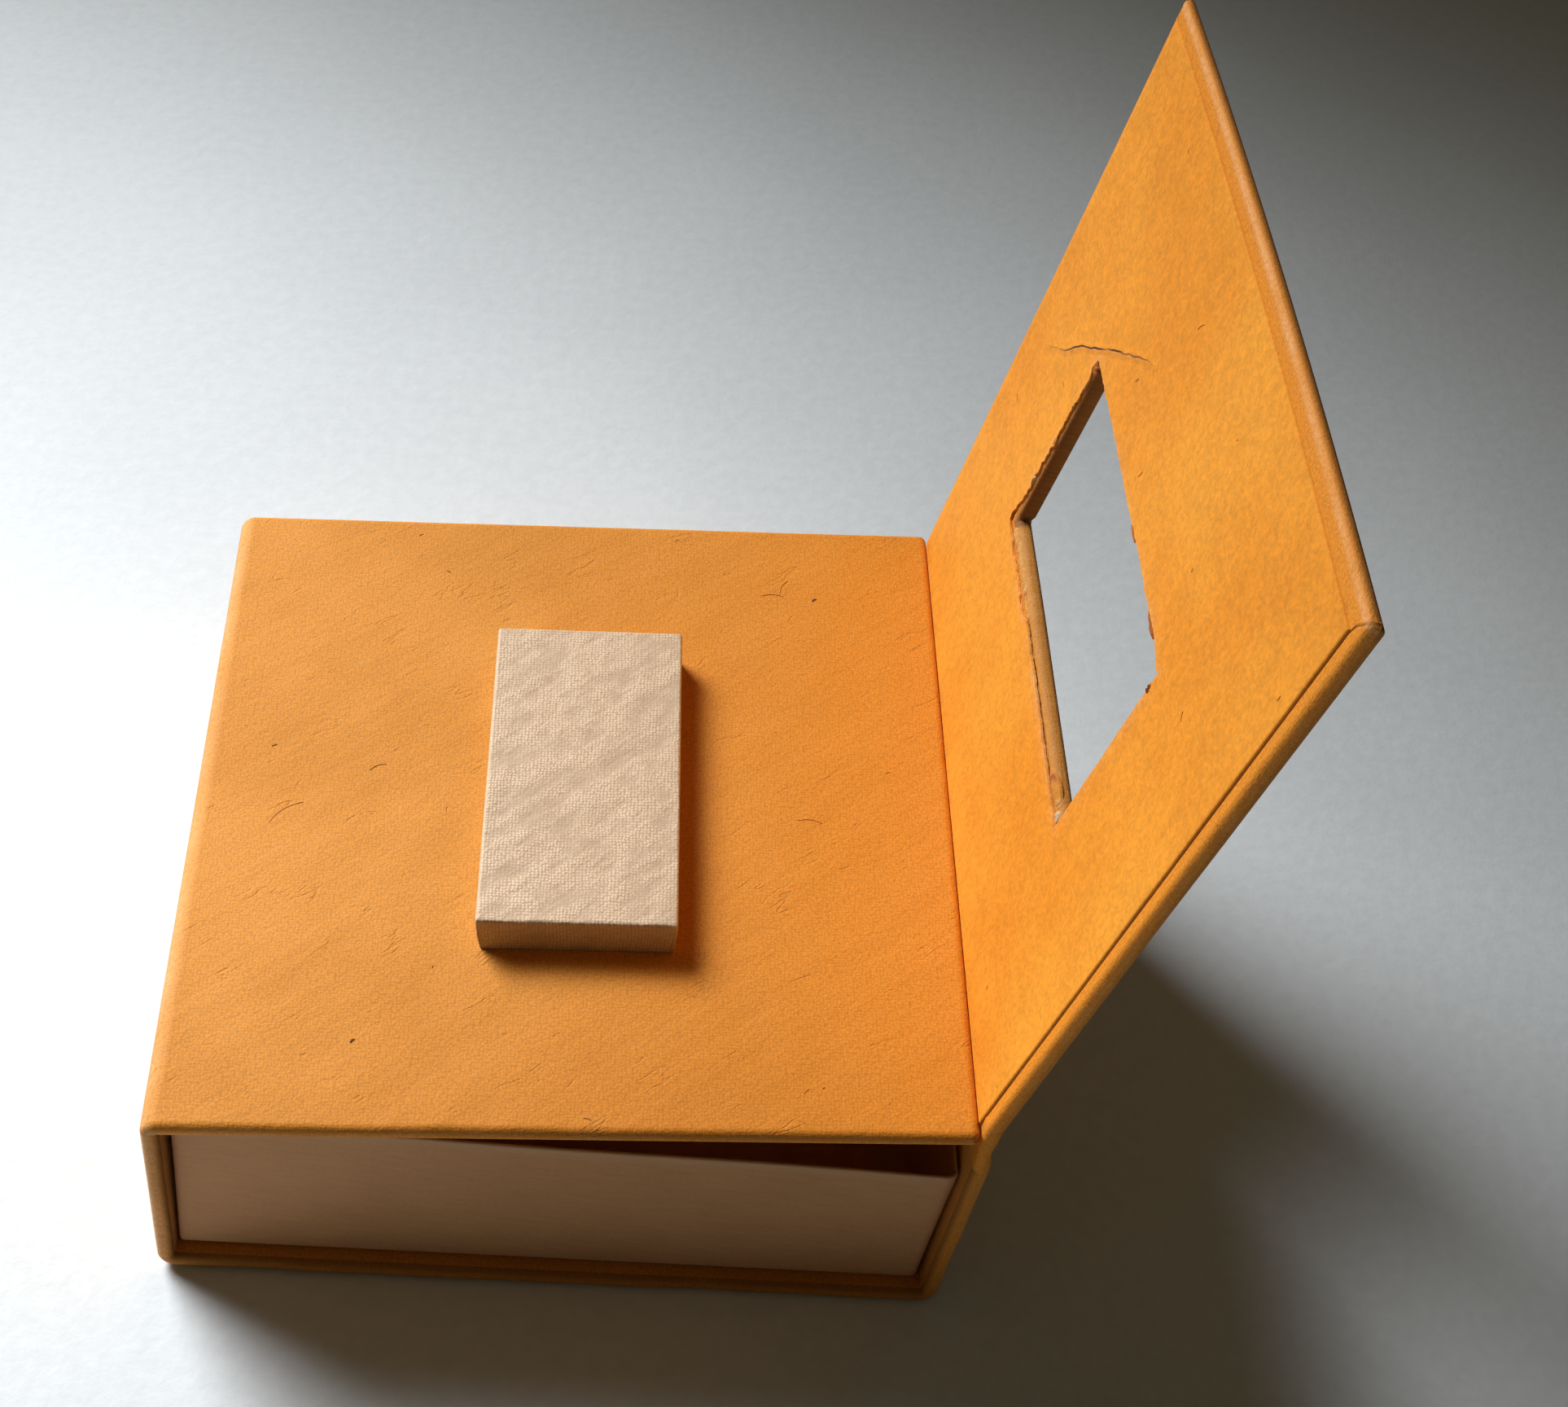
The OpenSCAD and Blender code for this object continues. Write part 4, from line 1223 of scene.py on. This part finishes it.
class PAPERBOX_OT_fibres(BoxOperator, Operator):
    """Bark fibres and specks pressed into the papers"""

    bl_idname = "paper_box.fibres"
    bl_label = "Fibres"

    # Fibres that stand out: both ends along the board and across it, the width and the darkness
    flap_fibres = (
        (77.4, 40.1, 80.7, 40.0, 0.08, 0.1), (80.2, 40.5, 81.5, 43.4, 0.08, 0.1),
        (22.8, -41.5, 23.3, -40.9, 0.3, 0.9), (48.6, -40.2, 49.5, -39.5, 0.12, 0.3),
        (85.1, 39.1, 85.8, 39.7, 0.5, 1.0), (7.4, 8.0, 8.1, 8.4, 0.25, 0.4),
        (81.6, -3.4, 85.1, -3.9, 0.08, 0.0), (53.0, -52.3, 54.0, -52.6, 0.2, 0.4),
        (21.5, 4.1, 23.7, 5.2, 0.08, 0.05), (8.5, -5.7, 12.8, -2.0, 0.08, 0.0),
        (94.5, 5.4, 95.1, 5.8, 0.2, 0.4),
    )
    lid_fibres = (
        (78.0, -20.9, 78.5, -20.6, 0.3, 0.5), (75.0, 15.3, 75.9, 14.9, 0.2, 0.3),
        (90.4, 7.9, 92.0, 7.0, 0.1, 0.2),
    )

    # How many more lie on each board, at random
    fine = 16

    def build(self, sizes, wear, tint):
        """Fibres on the flap and on the lining, but none under the block or beside the window."""
        draw = np.random.default_rng(7)
        flap = np.concatenate([self.flap_fibres, self.scattered(draw, self.fine, (3, 101), (-52, 52))])
        lid = np.concatenate([self.lid_fibres, self.scattered(draw, self.fine, (10, 101), (-51, 52))])
        half = sizes.block_d / 2
        on_block = (np.abs(flap[:, 0] + FLAP_X) < sizes.block_w / 2 + 3) & (np.abs(flap[:, 1]) < half + 3)
        by_window = (lid[:, 0] > sizes.window_near - 5) & (lid[:, 0] < sizes.window_far + 4)
        by_window &= np.abs(lid[:, 1]) < half + 5
        face = BOARD / 2 + sizes.lining + 0.5 * wear.cockle

        def over_flap(x, y, h):
            return on_flap(x, y, BOARD + 0.03 + h)

        def over_lining(x, y, h):
            return on_lid(x, y, -face - h, wear, sizes)

        shapes = {
            "flap": [self.fibre(row, over_flap) for row in flap[~on_block]],
            "lid": [self.fibre(row, over_lining) for row in lid[~by_window]],
        }
        for body, slot in (("flap", "orange_paper"), ("lid", "lining_paper")):
            piece = add_piece(body + "_fibres", *joined(shapes[body]), bark_fibre(tint))
            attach(piece, body)

    def scattered(self, draw, count, across, deep):
        """Rows of short, fine fibres at random places and angles."""
        x, y = draw.uniform(*across, count), draw.uniform(*deep, count)
        turn, run = draw.uniform(0, np.pi, count), 0.4 + 0.9 * draw.random(count) ** 2
        width, dark = 0.05 + 0.04 * draw.random(count), 0.2 * draw.random(count)
        return np.stack([x, y, x + run * np.cos(turn), y + run * np.sin(turn), width, dark], -1)

    def fibre(self, row, lay):
        """A low ridge between two points, bowed a little and pointed at both ends."""
        x0, y0, x1, y1, width, dark = row
        s, v = crossed(np.linspace(0, 1, 9), np.linspace(-0.5, 0.5, 4))
        thin = np.sqrt(held(1 - (2 * s - 1) ** 2)) + 0.08
        aside = 0.12 * np.sin(np.pi * s) + v * width * thin / math.hypot(x1 - x0, y1 - y0)
        x, y = x0 + (x1 - x0) * s - (y1 - y0) * aside, y0 + (y1 - y0) * s + (x1 - x0) * aside
        sheets = [lay(x, y, 0.05 * (1 - 4 * v * v)), lay(x, y, 0 * x - 0.2)]
        return paper(sheets, sheet_of(x, y, 9), 0.0, dark)


class PAPERBOX_OT_stage(Operator):
    """Pale table, soft light from the back left and the camera"""

    bl_idname = "paper_box.stage"
    bl_label = "Stage"

    # Table's half width, thickness and gap below the box, in millimetres
    table_half, table_thick, table_gap = 1600, 20, 0.02
    # Light panel's width and height, its place and the point that it faces, in metres
    panel_size, panel_at, panel_faces = (0.40, 0.35), (-0.416, 0.328, 0.445), (-0.103, -0.062, 0.02)
    # Camera's right, up and back directions, and its place in millimetres
    camera_turn = (
        (0.9885, -0.02644, 0.14887), (-0.07872, 0.75062, 0.65603), (-0.12909, -0.6602, 0.73991),
    )
    camera_at = (-18.24, -218.03, 307.08)

    def execute(self, context):
        scene, stage = context.scene, context.scene.paper_box_stage
        self.table(scene.paper_box_colours)
        self.light(scene, stage)
        self.camera(scene, stage)
        scene.view_settings.view_transform = "Standard"
        return {"FINISHED"}

    def table(self, tint):
        """A flat grid under the box."""
        lines = np.linspace(-self.table_half, self.table_half, 5)
        x, y = crossed(lines, lines)
        sheets = (np.stack([x, y, 0 * x - down], -1) for down in (self.table_gap, self.table_thick))
        points, faces, _ = slab(*sheets)
        add_piece("table_top", points, faces, {}, pale_table(tint))

    def light(self, scene, stage):
        """One soft panel at the back left, aimed at the front left, and a faint warm surround."""
        panel = bpy.data.lights.new("window_panel", "AREA")
        panel.shape, (panel.size, panel.size_y) = "RECTANGLE", self.panel_size
        panel.energy, panel.spread, panel.color = stage.key, stage.spread, (1.0, 0.975, 0.95)
        lamp = bpy.data.objects.new("window_panel", panel)
        lamp.location = self.panel_at
        aim = Vector(self.panel_faces) - lamp.location
        lamp.rotation_euler = aim.to_track_quat("-Z", "Y").to_euler()
        scene.collection.objects.link(lamp)
        world = bpy.data.worlds.new("warm_room")
        world.use_nodes = True
        back = world.node_tree.nodes["Background"]
        back.inputs[0].default_value = (1.0, 0.82, 0.5, 1)
        back.inputs[1].default_value = stage.fill
        scene.world = world

    def camera(self, scene, stage):
        """Camera at the photograph's place."""
        lens = bpy.data.cameras.new("camera")
        lens.sensor_width, lens.lens = 36.0, stage.lens
        lens.clip_start, lens.clip_end = 0.01, 50.0
        eye = bpy.data.objects.new("camera", lens)
        turn = Matrix(self.camera_turn).transposed().to_4x4()
        eye.matrix_world = Matrix.Translation(Vector(self.camera_at) * MM) @ turn
        scene.collection.objects.link(eye)
        scene.camera = eye


class PAPERBOX_PT_panel(Panel):
    """Lists the builders of the pieces"""

    bl_label = "Paper Box"
    bl_idname = "PAPERBOX_PT_panel"
    bl_space_type = "VIEW_3D"
    bl_region_type = "UI"
    bl_category = "Paper Box"

    def draw(self, context):
        for builder in BUILDERS:
            self.layout.operator(builder.bl_idname)
        for group in GROUPS:
            values = getattr(context.scene, GROUPS[group])
            for name in group.__annotations__:
                self.layout.prop(values, name)


BUILDERS = (
    PAPERBOX_OT_case, PAPERBOX_OT_tray, PAPERBOX_OT_flap, PAPERBOX_OT_block, PAPERBOX_OT_lid,
    PAPERBOX_OT_lining, PAPERBOX_OT_tears, PAPERBOX_OT_fibres, PAPERBOX_OT_stage,
)
GROUPS = {
    PaperBoxSizes: "paper_box_sizes", PaperBoxWear: "paper_box_wear",
    PaperBoxColours: "paper_box_colours", PaperBoxStage: "paper_box_stage",
}


def register():
    for group, name in GROUPS.items():
        bpy.utils.register_class(group)
        setattr(bpy.types.Scene, name, PointerProperty(type=group))
    for builder in BUILDERS + (PAPERBOX_PT_panel,):
        bpy.utils.register_class(builder)


def unregister():
    for builder in reversed(BUILDERS + (PAPERBOX_PT_panel,)):
        bpy.utils.unregister_class(builder)
    for group, name in GROUPS.items():
        delattr(bpy.types.Scene, name)
        bpy.utils.unregister_class(group)


def main():
    register()
    bpy.ops.paper_box.case()
    bpy.ops.paper_box.tray()
    bpy.ops.paper_box.flap()
    bpy.ops.paper_box.block()
    bpy.ops.paper_box.lid()
    bpy.ops.paper_box.lining()
    bpy.ops.paper_box.tears()
    bpy.ops.paper_box.fibres()
    bpy.ops.paper_box.stage()


if __name__ == "__main__":
    main()
